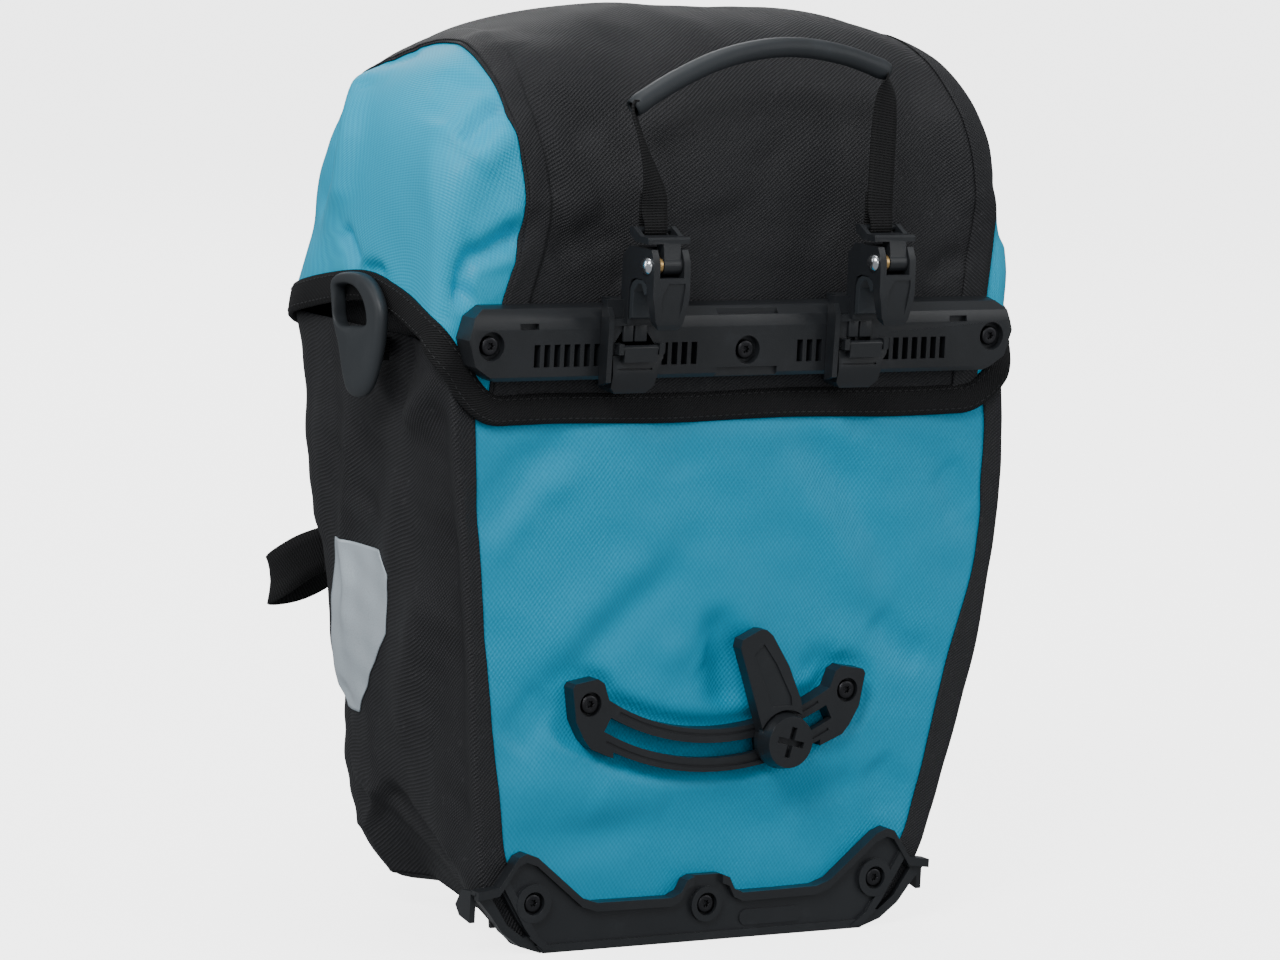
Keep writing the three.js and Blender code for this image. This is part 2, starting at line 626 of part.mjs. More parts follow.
function hookParts(name, x) {
  add("hook_body_" + name, hookBody(x), hardPlastic);
  const inset = gap;
  const y0 = noseBack + inset;
  const y1 = armFront - inset;
  const top = hook.roof - inset;
  const insert = cut(
    profile(polygon([[y1, hook.noseBottom + 3], [y1, top - 5], [y1 - 1.8, top - 1.8], [y1 - 5, top],
      [y0 + 5, top], [y0 + 1.8, top - 1.8], [y0 + 1, top - 6], [y0 + 3, top - 7], [y0 + 6,
      top - hook.insert],
      [y1 - 6.6, top - hook.insert], [y1 - hook.insert - 1, top - 6], [y1 - hook.insert - 0.8,
      hook.noseBottom + 4]]),
    x - hook.halfWidth + 0.6, x + hook.halfWidth - 0.6),
    block(x - 5.2, x + 5.2, y1 - 0.6, y1 + 1, hook.noseBottom, top - 8),
  );
  add("hook_insert_" + name, insert, hardPlastic);
  const head = barX(pivot.y, pivot.z, pivot.headRadius, x - hook.halfWidth - gap - pivot.headHeight,
    x - hook.halfWidth - gap, 18);
  const pin = barX(pivot.y, pivot.z, pivot.radius, x - hook.halfWidth - 1, x + hook.halfWidth + 0.6, 16);
  add("hook_pin_" + name, join(head, pin), steel);
  const left = x - hook.slotHalfWidth + gap;
  const spring = cut(barX(pivot.y, pivot.z, lever.barrelRadius - 0.3, left, left + 2.4, 18),
    barX(pivot.y, pivot.z, pivot.radius + gap, left - 1, left + 4, 16));
  add("lever_spring_" + name, spring, brass);

  const barrelLeft = left + 2.4 + gap;
  const barrelRight = x + hook.slotHalfWidth - gap;
  const barrel = barX(pivot.y, pivot.z, lever.barrelRadius, barrelLeft, barrelRight, 20);
  const barBottom = lever.barTop - lever.barHeight;
  const neck = profile(
    polygon([[pivot.y - 3.4, pivot.z + 2], [pivot.y + 3.4, pivot.z + 1], [pivot.y + 4.2, barBottom + 1],
      [pivot.y - 1.6, barBottom + 1]]), barrelLeft + 0.4, barrelRight);
  const bar = profile(
    polygon([[pivot.y - 1.8, barBottom], [pivot.y + 9, barBottom], [pivot.y + 9, lever.barTop],
      [pivot.y - 1.2, lever.barTop], [pivot.y - 1.8, lever.barTop - 1]]), x - lever.barHalfWidth,
    x + lever.barHalfWidth);
  const eyeY = pivot.y + lever.eyeOffset;
  const eyeZ = pivot.z + lever.eyeRise;
  const horn = polygon([[pivot.y + 5, barBottom], [pivot.y + 9, barBottom], [eyeY + 1.6, eyeZ - 1.6],
    [eyeY + 1.6, eyeZ + 1.6], [eyeY - 1.6, eyeZ + 1.6], [pivot.y + 5, lever.barTop]]);
  const horns = [-1, 1].map((side) => {
    const outer = x + side * lever.barHalfWidth;
    return profile(horn, Math.min(outer, outer - side * 2.4), Math.max(outer, outer - side * 2.4));
  });
  const rearBar = barX(eyeY, eyeZ, lever.eyeRadius, x - lever.barHalfWidth, x + lever.barHalfWidth, 10);
  const axle = barX(pivot.y, pivot.z, pivot.radius + 0.1, x - 12, x + 12, 16);
  add("lever_" + name, cut(join(barrel, neck, bar, ...horns, rearBar), axle), hardPlastic);

  const flapBack = plateBack;
  const flapFront = flapBack - latch.thickness;
  const under = rail.bottom - runningGap;
  const outline = plate(
    polygon([[x - 14.5, latch.bottom + 3], [x - 11, latch.bottom], [x + 6, latch.bottom], [x + 9,
      latch.bottom + 4],
      [x + 10.5, latch.top - 5], [x + clamp.right - 1, latch.top - 1.6], [x + clamp.right - 1, latch.top],
      [x - 14.5, latch.top]]), flapFront - 2, railFront + 12);
  const section = profile(
    polygon([[flapBack, latch.top], [flapFront, latch.top], [flapFront - 0.8, latch.bottom + 9],
      [flapFront + 0.6, latch.bottom + 3], [flapFront + 3, latch.bottom], [railFront + 8, latch.bottom + 1],
      [railFront + 9, under - 1.6], [railFront + 8, under], [flapBack, under]]), x - 20, x + 20);
  const groove = block(x - 12, x + 7, flapFront - 2, flapFront + 0.3, latch.bottom + 11.4,
    latch.bottom + 12.3);
  const hingePin = barX(plateFront - 2.2, latch.pinHeight, latch.pinRadius, x - 13.6, x + 10.6, 12);
  const knuckle = join(
    block(x - 10.6, x + 7.4, plateFront - 4, plateFront - 0.6, latch.top - 3, latch.pinHeight + 0.5),
    block(x - 10.6, x + 7.4, plateFront - 1, plateFront + 0.6, latch.top - 3, latch.top),
  );
  add("latch_" + name, join(cut(common(outline, section), groove), knuckle, hingePin), hardPlastic);
}

// ---------------------------------------------------------------- handle
function handleParts() {
  const eyeY = pivot.y + lever.eyeOffset;
  const eyeZ = pivot.z + lever.eyeRise;
  const loopInner = lever.eyeRadius + runningGap;
  const foot = eyeZ + loopInner + handle.thickness / 2;
  const x = hookX;
  const half = handle.gripHalfLength;
  const line = smooth(
    [[-x, foot], [-x - 3, foot + 22], [-half - 2, handle.shoulder - 12], [-half + 2, handle.shoulder + 3],
      [-half * 0.55, handle.archTop - 8], [0, handle.archTop], [half * 0.55, handle.archTop - 1],
      [half - 2, handle.shoulder + 10], [half + 1, handle.shoulder - 6], [x + 3, foot + 22], [x,
      foot]], 44);
  // The whole handle leans back towards the lid as it rises.
  const slope = handle.lean / (handle.archTop - foot);
  const lean = new THREE.Matrix4().set(1, 0, 0, 0, 0, 1, slope, eyeY - slope * foot, 0, 0, 1, 0, 0, 0,
    0, 1);
  const place = (geometry) => solid(geometry.applyMatrix4(lean));
  const ribbon = (thickness, width) =>
    place(extruded(strip(line, thickness), width, 1).translate(0, 0, -width / 2).rotateX(Math.PI / 2));
  const loopWidth = handle.webbing - 2;
  const ring = new THREE.Shape().absarc(0, 0, loopInner + handle.thickness - 0.4, 0, Math.PI * 2, false);
  ring.holes.push(new THREE.Path().absarc(0, 0, loopInner, 0, Math.PI * 2, true));
  const loops = [-1, 1].map((side) =>
    solid(extruded(ring, loopWidth, 7).applyMatrix4(yzToWorld).translate(side * x - loopWidth / 2,
      eyeY, eyeZ)));
  const foldedWidth = 2 * handle.gripRadius - 3.6;
  const twist = foot + handle.flatFoot;
  const legRoom = block(-x - 20, x + 20, -100, 100, twist, handle.shoulder - 4);
  const folded = block(-x - 20, x + 20, -100, 100, twist, handle.archTop + 20);
  const legs = common(ribbon(handle.thickness, handle.webbing), legRoom);
  const upper = common(ribbon(handle.thickness, foldedWidth), folded);
  // Below the twist the webbing lies flat, so that it can fold over the lever's bar.
  const feet = [-1, 1].map((side) =>
    place(new THREE.BoxGeometry(loopWidth, handle.thickness, handle.flatFoot + 2)
      .translate(side * x, 0, (foot + twist + 1) / 2)));
  add("handle_webbing", join(legs, upper, ...feet, ...loops), webbingCloth);

  const gripLine = line.slice(12, 33);
  const path = new THREE.CatmullRomCurve3(gripLine.map(([u, v]) => new THREE.Vector3(u, 0, v)));
  const round = new THREE.Shape().absarc(0, 0, handle.gripRadius, 0, Math.PI * 2, false);
  const grip = place(
    new THREE.ExtrudeGeometry(round, { extrudePath: path, steps: 16, bevelEnabled: false,
      curveSegments: 6 }));
  add("handle_grip", cut(grip, ribbon(handle.thickness + 2 * gap, foldedWidth + 2 * gap)), softGrip);
}

// ---------------------------------------------------------------- lower rail and fin
const arcPoint = (degrees, radius) => {
  const a = THREE.MathUtils.degToRad(degrees);
  return [radius * Math.sin(a), arc.centreHeight - radius * Math.cos(a)];
};
function sector(inner, outer, halfAngle, middleAngle = 0, steps = 20) {
  const angles = Array.from({ length: steps + 1 }, (_,
    i) => middleAngle - halfAngle + (2 * halfAngle * i) / steps);
  return polygon([...angles.map((a) => arcPoint(a, outer)), ...angles.reverse().map((a) => arcPoint(a,
    inner))]);
}

function arcRail() {
  const inner = arc.radius - arc.bandWidth / 2;
  const outer = arc.radius + arc.bandWidth / 2;
  const bandPart = plate(sector(inner, outer, arc.slotHalfAngle + 1, 0, 20), arcFront, arcBack);
  const lobes = [-1, 1].map((side) => {
    const x = side * arc.screwX;
    const z = arc.screwHeight;
    const points = [[x - side * 13.5, z - 5], [x - side * 10, z + 2], [x - side * 7.2, z + 9.6],
      [x - side * 3.6, arc.lobeTop], [x + side * 8.6, arc.lobeTop - 2], [x + side * 10, arc.lobeTop - 4],
      [x + side * 7.4, z - 8], [x + side * 2.4, z - 17], [x - side * 1.5, z - 21.5], [x - side * 14,
      z - 26.5]];
    return plate(polygon(points), arcFront, arcBack);
  });
  const half = arc.slotWidth / 2;
  const slot = plate(sector(arc.radius - half, arc.radius + half, arc.slotHalfAngle - 1.5, 0, 20),
    arcFront - 1, 1);
  const channel = plate(
    sector(arc.radius - arc.channelWidth / 2, arc.radius + arc.channelWidth / 2,
      arc.slotHalfAngle - 1.5, 0, 20),
    arcBack - arc.channelDepth, 1);
  const grooves = [
    [inner + 2, inner + 3.4],
    [outer - 3.4, outer - 2],
  ].map(([a, b]) => plate(sector(a, b, arc.slotHalfAngle - 3, 0, 18), arcFront - 1, arcFront + 0.7));
  const recesses = arcScrews.flatMap(([, x, z]) => [
    barY(x, z, 5.9, arcFront - 1, arcSeat + gap, 20), screwHole(x, z, arcFront)]);
  add("arc_rail", cut(join(bandPart, ...lobes), slot, channel, ...grooves, ...recesses), hardPlastic);
  for (const [name, x, z] of arcScrews) add("arc_screw_" + name, screwBody(x, z, arcSeat), darkSteel);
}

function finParts() {
  const [kx, kz] = arcPoint(fin.angle, arc.radius);
  const neckHalf = arc.slotWidth / 2 - runningGap;
  const shoeHalf = arc.channelWidth / 2 - runningGap;
  const shoe = plate(sector(arc.radius - shoeHalf, arc.radius + shoeHalf, 4, fin.angle, 4),
    arcBack - arc.channelDepth + runningGap, arcBack - 0.8);
  const neck = plate(sector(arc.radius - neckHalf, arc.radius + neckHalf, 3, fin.angle, 4), arcFront - 0.2,
    arcBack - arc.channelDepth + 1);
  const screwWay = barY(kx, kz, 2 + gap, arcFront - 30, 5, 16);
  add("fin_carriage", cut(join(shoe, neck), screwWay), hardPlastic);

  const baseBack = arcFront - 0.2 - runningGap;
  const baseFront = baseBack - fin.baseThickness;
  const blade = polygon([
    [kx - 12.4, kz + 3], [kx - 18, kz + 18], [kx - 23.6, kz + 33.5], [kx - 28.4, kz + 46], [kx - 27.6,
    kz + 50],
    [kx - 17.4, kz + 54.6], [kx - 14.2, kz + 54.4], [kx - 10.4, kz + 51.4], [kx - 0.4, kz + 36.4],
    [kx + 7.6, kz + 19.4], [kx + 9.2, kz + 11.2], [kx + 4, kz + 4],
  ]);
  const raised = polygon([
    [kx - 8.6, kz + 17], [kx - 15.6, kz + 31.5], [kx - 20.6, kz + 42.5], [kx - 15.2, kz + 47.5],
    [kx - 7.4, kz + 37.5],
    [kx + 1.8, kz + 21.5], [kx + 2.6, kz + 17],
  ]);
  const base = barY(kx, kz, fin.baseRadius, baseFront, baseBack, 28);
  const bladeFront = baseBack - 7.4;
  const wedge = join(plate(blade, bladeFront, baseBack), base);
  const knobRoom = barY(kx, kz, knob.radius + 0.8, bladeFront - 5, baseFront, 28);
  const rimmed = cut(wedge, knobRoom, screwWay, plate(raised, bladeFront - 1, bladeFront + 0.8));
  add("fin_blade", rimmed, hardPlastic);

  const knobBack = baseFront - runningGap;
  const knobFront = knobBack - knob.height;
  const head = barY(kx, kz, knob.radius, knobFront, knobBack, 28, knob.topRadius);
  const shank = barY(kx, kz, 2, knobBack - 1, arcBack - 1.4, 12);
  const armLength = knob.slotLength / 2;
  const cross = [0, Math.PI / 2].map((turn) =>
    solid(new THREE.BoxGeometry(2 * armLength, 2 * knob.slotDepth, knob.slotWidth).rotateY(turn + 0.25)
      .translate(kx, knobFront, kz)));
  const notches = Array.from({ length: 8 }, (_, i) => {
    const a = (i / 8) * Math.PI * 2 + 0.4;
    return barY(kx + Math.cos(a) * (knob.radius + 1.6), kz + Math.sin(a) * (knob.radius + 1.6), 2.6,
      knobFront - 1,
      knobBack - 2.4, 10);
  });
  add("fin_knob", cut(join(head, shank), ...cross, ...notches), hardPlastic);
}

// ---------------------------------------------------------------- bottom protector
function bottomGuard() {
  const wing = halfWidthAt(guard.tipHeight) + 1.2;
  const back = -gap;
  const face = back - guard.plate;
  const half = [
    [0, 0], [91, 0], [102, 3.6], [112, 11], [119, 20], [wing + 2.2, guard.tipHeight - 1.5],
    [wing + 1.8, guard.tipHeight + 0.4], [guard.peakX + 15, guard.tipHeight + 2],
    [guard.peakX + 5.2, guard.peakHeight - 1.6], [guard.peakX + 1, guard.peakHeight],
    [guard.peakX - 5, guard.peakHeight - 2.2], [guard.peakX - 24, guard.edgeHeight + 8.6],
    [guard.peakX - 31, guard.edgeHeight + 3], [guard.peakX - 39, guard.edgeHeight + 0.4],
    [guard.peakX - 60, guard.edgeHeight], [20, guard.edgeHeight], [15, guard.edgeHeight + 2.4],
    [12, guard.edgeHeight + 8], [8, guard.edgeHeight + 9.6],
  ];
  const outline = polygon([...half.slice(1), ...half.slice(1).map(([u, v]) => [-u, v]).reverse()]);
  const base = plate(outline, face, back);
  const upper = half.slice(6);
  const inward = (u, v) => [u, v - guard.rimWidth];
  const rims = [-1, 1].map((side) => {
    const outerLine = upper.map(([u, v]) => [side * u, v]);
    const innerLine = upper.map(([u, v]) => inward(side * u, v)).reverse();
    return plate(polygon([...outerLine, ...innerLine]), face - guard.rim, face + 1);
  });
  const boss = (x, z, r) => barY(x, z, r, face - guard.rim + 0.6, face + 1, 24);
  const bosses = guardScrews.map(([name, x, z]) => boss(x, z, name === "centre" ? 8.6 : 9.4));
  const ridge = [-1, 1].map((side) =>
    plate(polygon([[side * 113.4, 33], [side * 111, 36.5], [side * 93, 8], [side * 84, 1.5],
      [side * 90, 1.5],
      [side * 98, 8]]), face - guard.rim + 0.8, face + 1));
  const bottomRim = plate(polygon(mirrored([[0, 0], [90, 0], [94, 4], [0, 4]].slice(1, 3))),
    face - 1.4, face + 1);
  const lens = [-1, 1].map((side) =>
    plate(polygon([[side * 118.4, 27.5], [side * 113.6, 31.5], [side * 104, 16.5], [side * 97.5, 8.5],
      [side * 100.5, 8], [side * 109.5, 14.5]]), face - 10, 5));
  const lip = block(-89, 89, back - 1, guard.lipDepth, 0, guard.lip);
  const wings = [-1, 1].map((side) => {
    const x = side * (wing + 0.7);
    const shape = polygon([[back - 0.5, 16], [back - 0.5, guard.tipHeight], [guard.wingReach * 0.6,
      guard.tipHeight - 1],
      [guard.wingReach, guard.tipHeight - 9], [guard.wingReach * 0.7, 18]]);
    return profile(shape, x - 1.5, x + 1.5);
  });
  const label = plate(roundedRect(20, 55, 5.8, 13.4, 3.7), face - 0.7, face + 1, 6);
  const body = join(base, ...rims, ...bosses, ...ridge, bottomRim, lip, ...wings, label);
  const seatCuts = guardScrews.flatMap(([, x, z]) => [
    barY(x, z, 5.6, face - 5, guardSeat + gap, 20), screwHole(x, z, face)]);
  add("bottom_guard", cut(body, ...lens, ...seatCuts), hardPlastic);
  for (const [name, x, z] of guardScrews) add("guard_screw_" + name, screwBody(x, z, guardSeat), darkSteel);
}

// ---------------------------------------------------------------- side hooks and reflectors
function sideFittings() {
  for (const [name, side] of [["left", -1], ["right", 1]]) {
    const inner = Math.max(halfWidthAt(sideHook.top), lidHalfWidth) + 1.6;
    const x0 = side > 0 ? inner : -inner - sideHook.thickness;
    const mid = sideHook.y;
    const w = sideHook.topHalfWidth;
    const b = sideHook.bottomHalfWidth;
    const outline = polygon([
      [mid - w + 5, sideHook.top], [mid - w, sideHook.top - 4], [mid - w, sideHook.top - 12],
      [mid - b - 1, sideHook.bottom + 14], [mid - b + 3, sideHook.bottom + 3], [mid, sideHook.bottom],
      [mid + b - 3, sideHook.bottom + 3], [mid + b + 1, sideHook.bottom + 14], [mid + w, sideHook.top - 12],
      [mid + w, sideHook.top - 4], [mid + w - 5, sideHook.top],
    ]);
    const eye = polygon([[mid - 13, sideHook.top - 6], [mid - 15, sideHook.top - 9], [mid - 9,
      sideHook.top - 24],
      [mid + 9, sideHook.top - 24], [mid + 15, sideHook.top - 9], [mid + 13, sideHook.top - 6]]);
    const recessX = side > 0 ? x0 - 1 : x0 + sideHook.thickness - 3.4;
    const recess = profile(
      polygon([[mid - 7, sideHook.bottom - 1], [mid - 7, sideHook.top - 36], [mid + 7, sideHook.top - 36],
        [mid + 7, sideHook.bottom - 1]]), recessX, recessX + 4.4);
    const body = cut(profile(outline, x0, x0 + sideHook.thickness), profile(eye, x0 - 5, x0 + 20), recess);
    add("side_hook_" + name, body, softGrip);
    const tabOuter = inner - gap;
    const low = sideHook.tabTop - 11;
    const high = sideHook.tabTop;
    const tabInner = halfWidthAt(high) + gap;
    const tabX = side > 0 ? [tabInner, tabOuter] : [-tabOuter, -tabInner];
    add("side_hook_tab_" + name, block(...tabX, mid - 9, mid + 9, low, high), webbingCloth);

    const r = reflector;
    const face = (z, out) => side * (halfWidthAt(z) + gap + out);
    const rear = r.y - r.halfWidth;
    const street = r.y + r.halfWidth;
    const outlineOf = (out) => [[rear, r.top - 11.5], [rear + 7, r.top], [street - 11, r.top],
      [street, r.top - 31], [street, r.bottom + 11], [street - 7, r.bottom], [r.y + 8, r.bottom + 1.2],
      [rear + 4, r.top - 40]].map(([y, z]) => new THREE.Vector3(face(z, out), y, z));
    const rings = side > 0 ? [outlineOf(0), outlineOf(r.thickness)] : [outlineOf(r.thickness),
      outlineOf(0)];
    add("reflector_" + name, loft(rings.map((ring) => ring.reverse())), reflectiveFilm);
  }
}

// ---------------------------------------------------------------- front straps
function frontStraps() {
  const faceAt = (z) => depthAt(z) + gap;
  const z0 = strap.crossHeight - strap.width / 2;
  const z1 = strap.crossHeight + strap.width / 2;
  const t = strap.thickness;
  const reach = halfWidthAt(z0) - 8;
  const low = faceAt(z1) + 0.2;
  add("cross_strap", block(-reach, reach, low, low + t, z0, z1), webbingCloth);
  const lockX = -reach + 26;
  const lockBack = low + t + gap;
  const lock = cut(
    block(lockX - 15, lockX + 15, lockBack, lockBack + 5.4, z0 - 3.5, z1 + 3.5),
    block(lockX - 10, lockX - 3, lockBack - 1, lockBack + 7, z0, z1),
    block(lockX + 3, lockX + 10, lockBack - 1, lockBack + 7, z0, z1),
  );
  add("strap_ladder_lock", lock, hardPlastic);
  const start = lockX - 4;
  const y = lockBack + 5.4 + gap + t / 2;
  const loopLine = smooth([
    [start, y], [start - 10, y + 7], [-halfWidthAt(z0) - 2, y + 16], [-halfWidthAt(z0) - 14,
    y + strap.loopReach - 12],
    [-halfWidthAt(z0) - 6, y + strap.loopReach], [-halfWidthAt(z0) + 8, y + strap.loopReach - 10],
    [start - 12, y + 16], [start - 2, y + 8.5],
  ], 30);
  add("strap_loop", slab(strip(loopLine, t), z0 + 1, z1 - 1), webbingCloth);

  const buckleBack = lidFrontDepth + 2;
  const half = buckle.halfWidth;
  const socketOuter = block(-half, half, buckleBack, buckleBack + buckle.depth, buckle.socketBottom,
    buckle.socketTop);
  const pocket = block(-half + 3.4, half - 3.4, buckleBack + 2, buckleBack + buckle.depth - 2,
    buckle.socketBottom + 9, buckle.socketTop + 1);
  const sideWindows = block(-half - 1, half + 1, buckleBack + 2, buckleBack + buckle.depth - 2,
    buckle.socketBottom + 13, buckle.socketTop - 6);
  const barSlot = block(-13, 13, buckleBack - 1, buckleBack + buckle.depth + 1, buckle.socketBottom + 2.5,
    buckle.socketBottom + 6.5);
  add("buckle_socket", cut(socketOuter, pocket, sideWindows, barSlot), hardPlastic);
  const middle = buckleBack + buckle.depth / 2;
  const tongue = (x0, x1, top) =>
    block(x0, x1, middle - 2.5 + runningGap, middle + 2.5 - runningGap, buckle.socketBottom + 11, top);
  const prongs = [-1, 1].map((side) => {
    const [a, b] = side > 0 ? [half - 7.5, half - 4] : [-half + 4, -half + 7.5];
    return tongue(a, b, buckle.socketTop + 4);
  });
  const plugBody = block(-half, half, buckleBack, buckleBack + buckle.depth,
    buckle.socketTop + runningGap, buckle.plugTop);
  const barHole = block(-13, 13, buckleBack - 1, buckleBack + buckle.depth + 1, buckle.plugTop - 8,
    buckle.plugTop - 3);
  add("buckle_plug", cut(join(plugBody, ...prongs, tongue(-3, 3, buckle.socketTop + 4)), barHole),
    hardPlastic);

  const width = strap.width / 2 - 0.6;
  const lidFace = lidFrontDepth + gap;
  const behind = buckleBack - gap - t / 2;
  const lidLine = [[lidFace + t / 2, lid.domeStart - 6], [lidFace + t / 2, lid.frontHem + 6],
    [behind, buckle.plugTop + 3], [behind, buckle.plugTop - 7]];
  add("lid_strap", profile(strip(lidLine, t), -width, width), webbingCloth);
  const over = low + t + gap + t / 2;
  const slotHeight = buckle.socketBottom + 4.5;
  const bodyLine = [[faceAt(28) + t, 28], [over, z0 - 4], [over, z1 + 4], [behind, buckle.socketBottom - 3],
    [behind, slotHeight - 2.4], [behind + 0.5, slotHeight - 0.6], [behind + 2.2, slotHeight],
    [buckleBack + buckle.depth - 2.5, slotHeight]];
  add("front_strap", profile(strip(bodyLine, t), -width, width), webbingCloth);
}

bagBody();
innerParts();
collarParts();
lidParts();
hookRail();
hookParts("left", -hookX);
hookParts("right", hookX);
handleParts();
arcRail();
finParts();
bottomGuard();
sideFittings();
frontStraps();

export default model;
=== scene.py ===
"""The looks of the pannier bag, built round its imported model: cloth, webbing, hem tape, moulded parts and
the small metal ones. Run as a script: it makes every piece, then the stage."""

import json
import math

import bmesh
import bpy
import numpy as np
from mathutils import Matrix, Vector


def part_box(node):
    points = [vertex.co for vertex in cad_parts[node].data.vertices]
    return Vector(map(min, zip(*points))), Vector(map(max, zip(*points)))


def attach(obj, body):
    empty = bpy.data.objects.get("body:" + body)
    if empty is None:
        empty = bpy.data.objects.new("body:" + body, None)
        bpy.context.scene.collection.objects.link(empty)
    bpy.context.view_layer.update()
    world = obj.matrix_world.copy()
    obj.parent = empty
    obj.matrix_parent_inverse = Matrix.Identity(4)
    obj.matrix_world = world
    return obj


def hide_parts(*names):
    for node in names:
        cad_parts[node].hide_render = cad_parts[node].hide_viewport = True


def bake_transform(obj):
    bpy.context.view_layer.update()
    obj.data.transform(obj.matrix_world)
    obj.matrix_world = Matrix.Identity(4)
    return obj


bl_info = {
    "name": "Pannier bag",
    "version": (1, 0, 0),
    "blender": (4, 5, 0),
    "location": "View3D > Sidebar > Pannier",
    "description": "Builds the cloth, straps and fittings of a pannier bag round its packed model",
    "category": "Add Mesh",
}

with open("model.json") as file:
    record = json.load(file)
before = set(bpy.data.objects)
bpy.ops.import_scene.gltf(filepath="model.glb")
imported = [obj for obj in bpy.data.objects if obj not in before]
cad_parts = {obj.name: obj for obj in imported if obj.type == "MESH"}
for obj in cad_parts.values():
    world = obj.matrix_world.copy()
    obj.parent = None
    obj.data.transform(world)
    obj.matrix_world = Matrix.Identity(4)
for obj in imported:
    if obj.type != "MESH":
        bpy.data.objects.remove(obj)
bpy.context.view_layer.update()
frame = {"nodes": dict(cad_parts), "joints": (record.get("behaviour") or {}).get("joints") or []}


MM = 0.001
LEFT, RIGHT = -1, 1
SIDES = {"left": LEFT, "right": RIGHT}


def low_high(node):
    """A node's lowest and highest corners in millimetres."""
    low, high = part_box(node)
    return np.array(low) / MM, np.array(high) / MM


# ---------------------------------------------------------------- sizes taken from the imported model, in mm
RAIL_LOW = low_high("hook_rail")[0]
FLOOR_HIGH = low_high("bottom_panel")[1]
BACK_HIGH = low_high("back_panel")[1]
FRONT_HIGH = low_high("front_panel")[1]
LID_LOW, LID_HIGH = low_high("lid_centre_panel")
BAND_LOW, BAND_HIGH = low_high("lid_anchor_band")

RIM_HEIGHT = float(BACK_HIGH[2])
RIM_HALF_WIDTH = float(BACK_HIGH[0])
FLOOR_HALF_WIDTH = float(FLOOR_HIGH[0])
FLOOR_DEPTH = float(FLOOR_HIGH[1])
RIM_DEPTH = float(FRONT_HIGH[1])
LID_TOP = 440.0
LID_HALF_WIDTH = float(BAND_HIGH[0])
LID_FRONT = float(LID_HIGH[1])
LID_BACK = -2.8
DOME_START = 342.0  # above this height the lid closes in
DOME_RISE = LID_TOP - DOME_START
HINGE = next(j for j in frame["joints"] if j["name"] == "lid_open")["pos_m"]
HINGE_Y, HINGE_Z = HINGE[1] / MM, HINGE[2] / MM


# ---------------------------------------------------------------- small tools for shapes
def smooth(low, high, x):
    t = np.clip((x - low) / (high - low), 0, 1)
    return t * t * (3 - 2 * t)


def table(x, *pairs):
    """A value read from a table of (place, value), straight between them."""
    places, values = zip(*pairs)
    return np.interp(x, places, values)


def rounded_table(x, *pairs):
    """A table read with soft corners."""
    places, values = np.array(pairs, float).T
    fine = np.linspace(places[0], places[-1], 240)
    raw = np.interp(fine, places, values)
    kernel = np.hanning(23)
    padded = np.pad(raw, 11, mode="reflect", reflect_type="odd")
    return np.interp(x, fine, np.convolve(padded, kernel / kernel.sum(), mode="valid"))


def ripple(u, v, length, seed):
    """Gentle waves about one high in no one direction, the same on every run."""
    rng = np.random.default_rng(seed)
    total = 0
    for _ in range(7):
        angle, phase = rng.uniform(0, 2 * math.pi, 2)
        step = 2 * math.pi / (length * rng.uniform(0.7, 1.6))
        total = total + np.sin((u * math.cos(angle) + v * math.sin(angle)) * step + phase)
    return total / 3.2


def distance_to(points, line):
    """How far points are from a line of points, and how far along it their nearest places are, 0 to 1."""
    line = np.array(line, float)
    lengths = np.linalg.norm(np.diff(line, axis=0), axis=1)
    before = np.concatenate([[0], np.cumsum(lengths)])
    best = np.full(points.shape[:-1], 1e9)
    along = np.zeros(points.shape[:-1])
    for i, length in enumerate(lengths):
        step = (line[i + 1] - line[i]) / max(length, 1e-9)
        t = np.clip(((points - line[i]) @ step), 0, length)
        gap = np.linalg.norm(points - line[i] - t[..., None] * step, axis=-1)
        nearer = gap < best
        best = np.where(nearer, gap, best)
        along = np.where(nearer, (before[i] + t) / before[-1], along)
    return best, along


def creases(points, marks):
    """The sum of soft ridges (height above 0) and valleys (below), each (line, width, height)."""
    total = np.zeros(points.shape[:-1])
    for line, width, height in marks:
        gap, along = distance_to(points, line)
        ends = smooth(0, 0.22, along) * smooth(0, 0.22, 1 - along) * 0.75 + 0.25
        total += height * ends * np.exp(-((gap / width) ** 2))
    return total


def spline(points, count):
    """A smooth line of count points through the given ones, evenly spaced."""
    p = np.array(points, float)
    p = np.vstack([2 * p[0] - p[1], p, 2 * p[-1] - p[-2]])
    out = []
    for i in range(1, len(p) - 2):
        t = np.linspace(0, 1, 24, endpoint=False)[:, None]
        a, b, c, d = p[i - 1 : i + 3]
        square, cube = 2 * a - 5 * b + 4 * c - d, 3 * b - a - 3 * c + d
        out.append(0.5 * (2 * b + (c - a) * t + square * t**2 + cube * t**3))
    out = np.vstack([*out, p[-2:-1]])
    return evenly(out, count)


def run_along(line):
    """How far along a line each of its points is."""
    return np.concatenate([[0], np.cumsum(np.linalg.norm(np.diff(line, axis=0), axis=1))])


def evenly(points, count, closed=False):
    """The same line with count points at even steps."""
    p = np.vstack([points, points[:1]]) if closed else np.asarray(points, float)
    run = run_along(p)
    at = np.linspace(0, run[-1], count, endpoint=not closed)
    return np.column_stack([np.interp(at, run, p[:, k]) for k in range(p.shape[1])])


def unit(v):
    """The same directions, each of length 1."""
    return v / np.maximum(np.linalg.norm(v, axis=-1, keepdims=True), 1e-9)


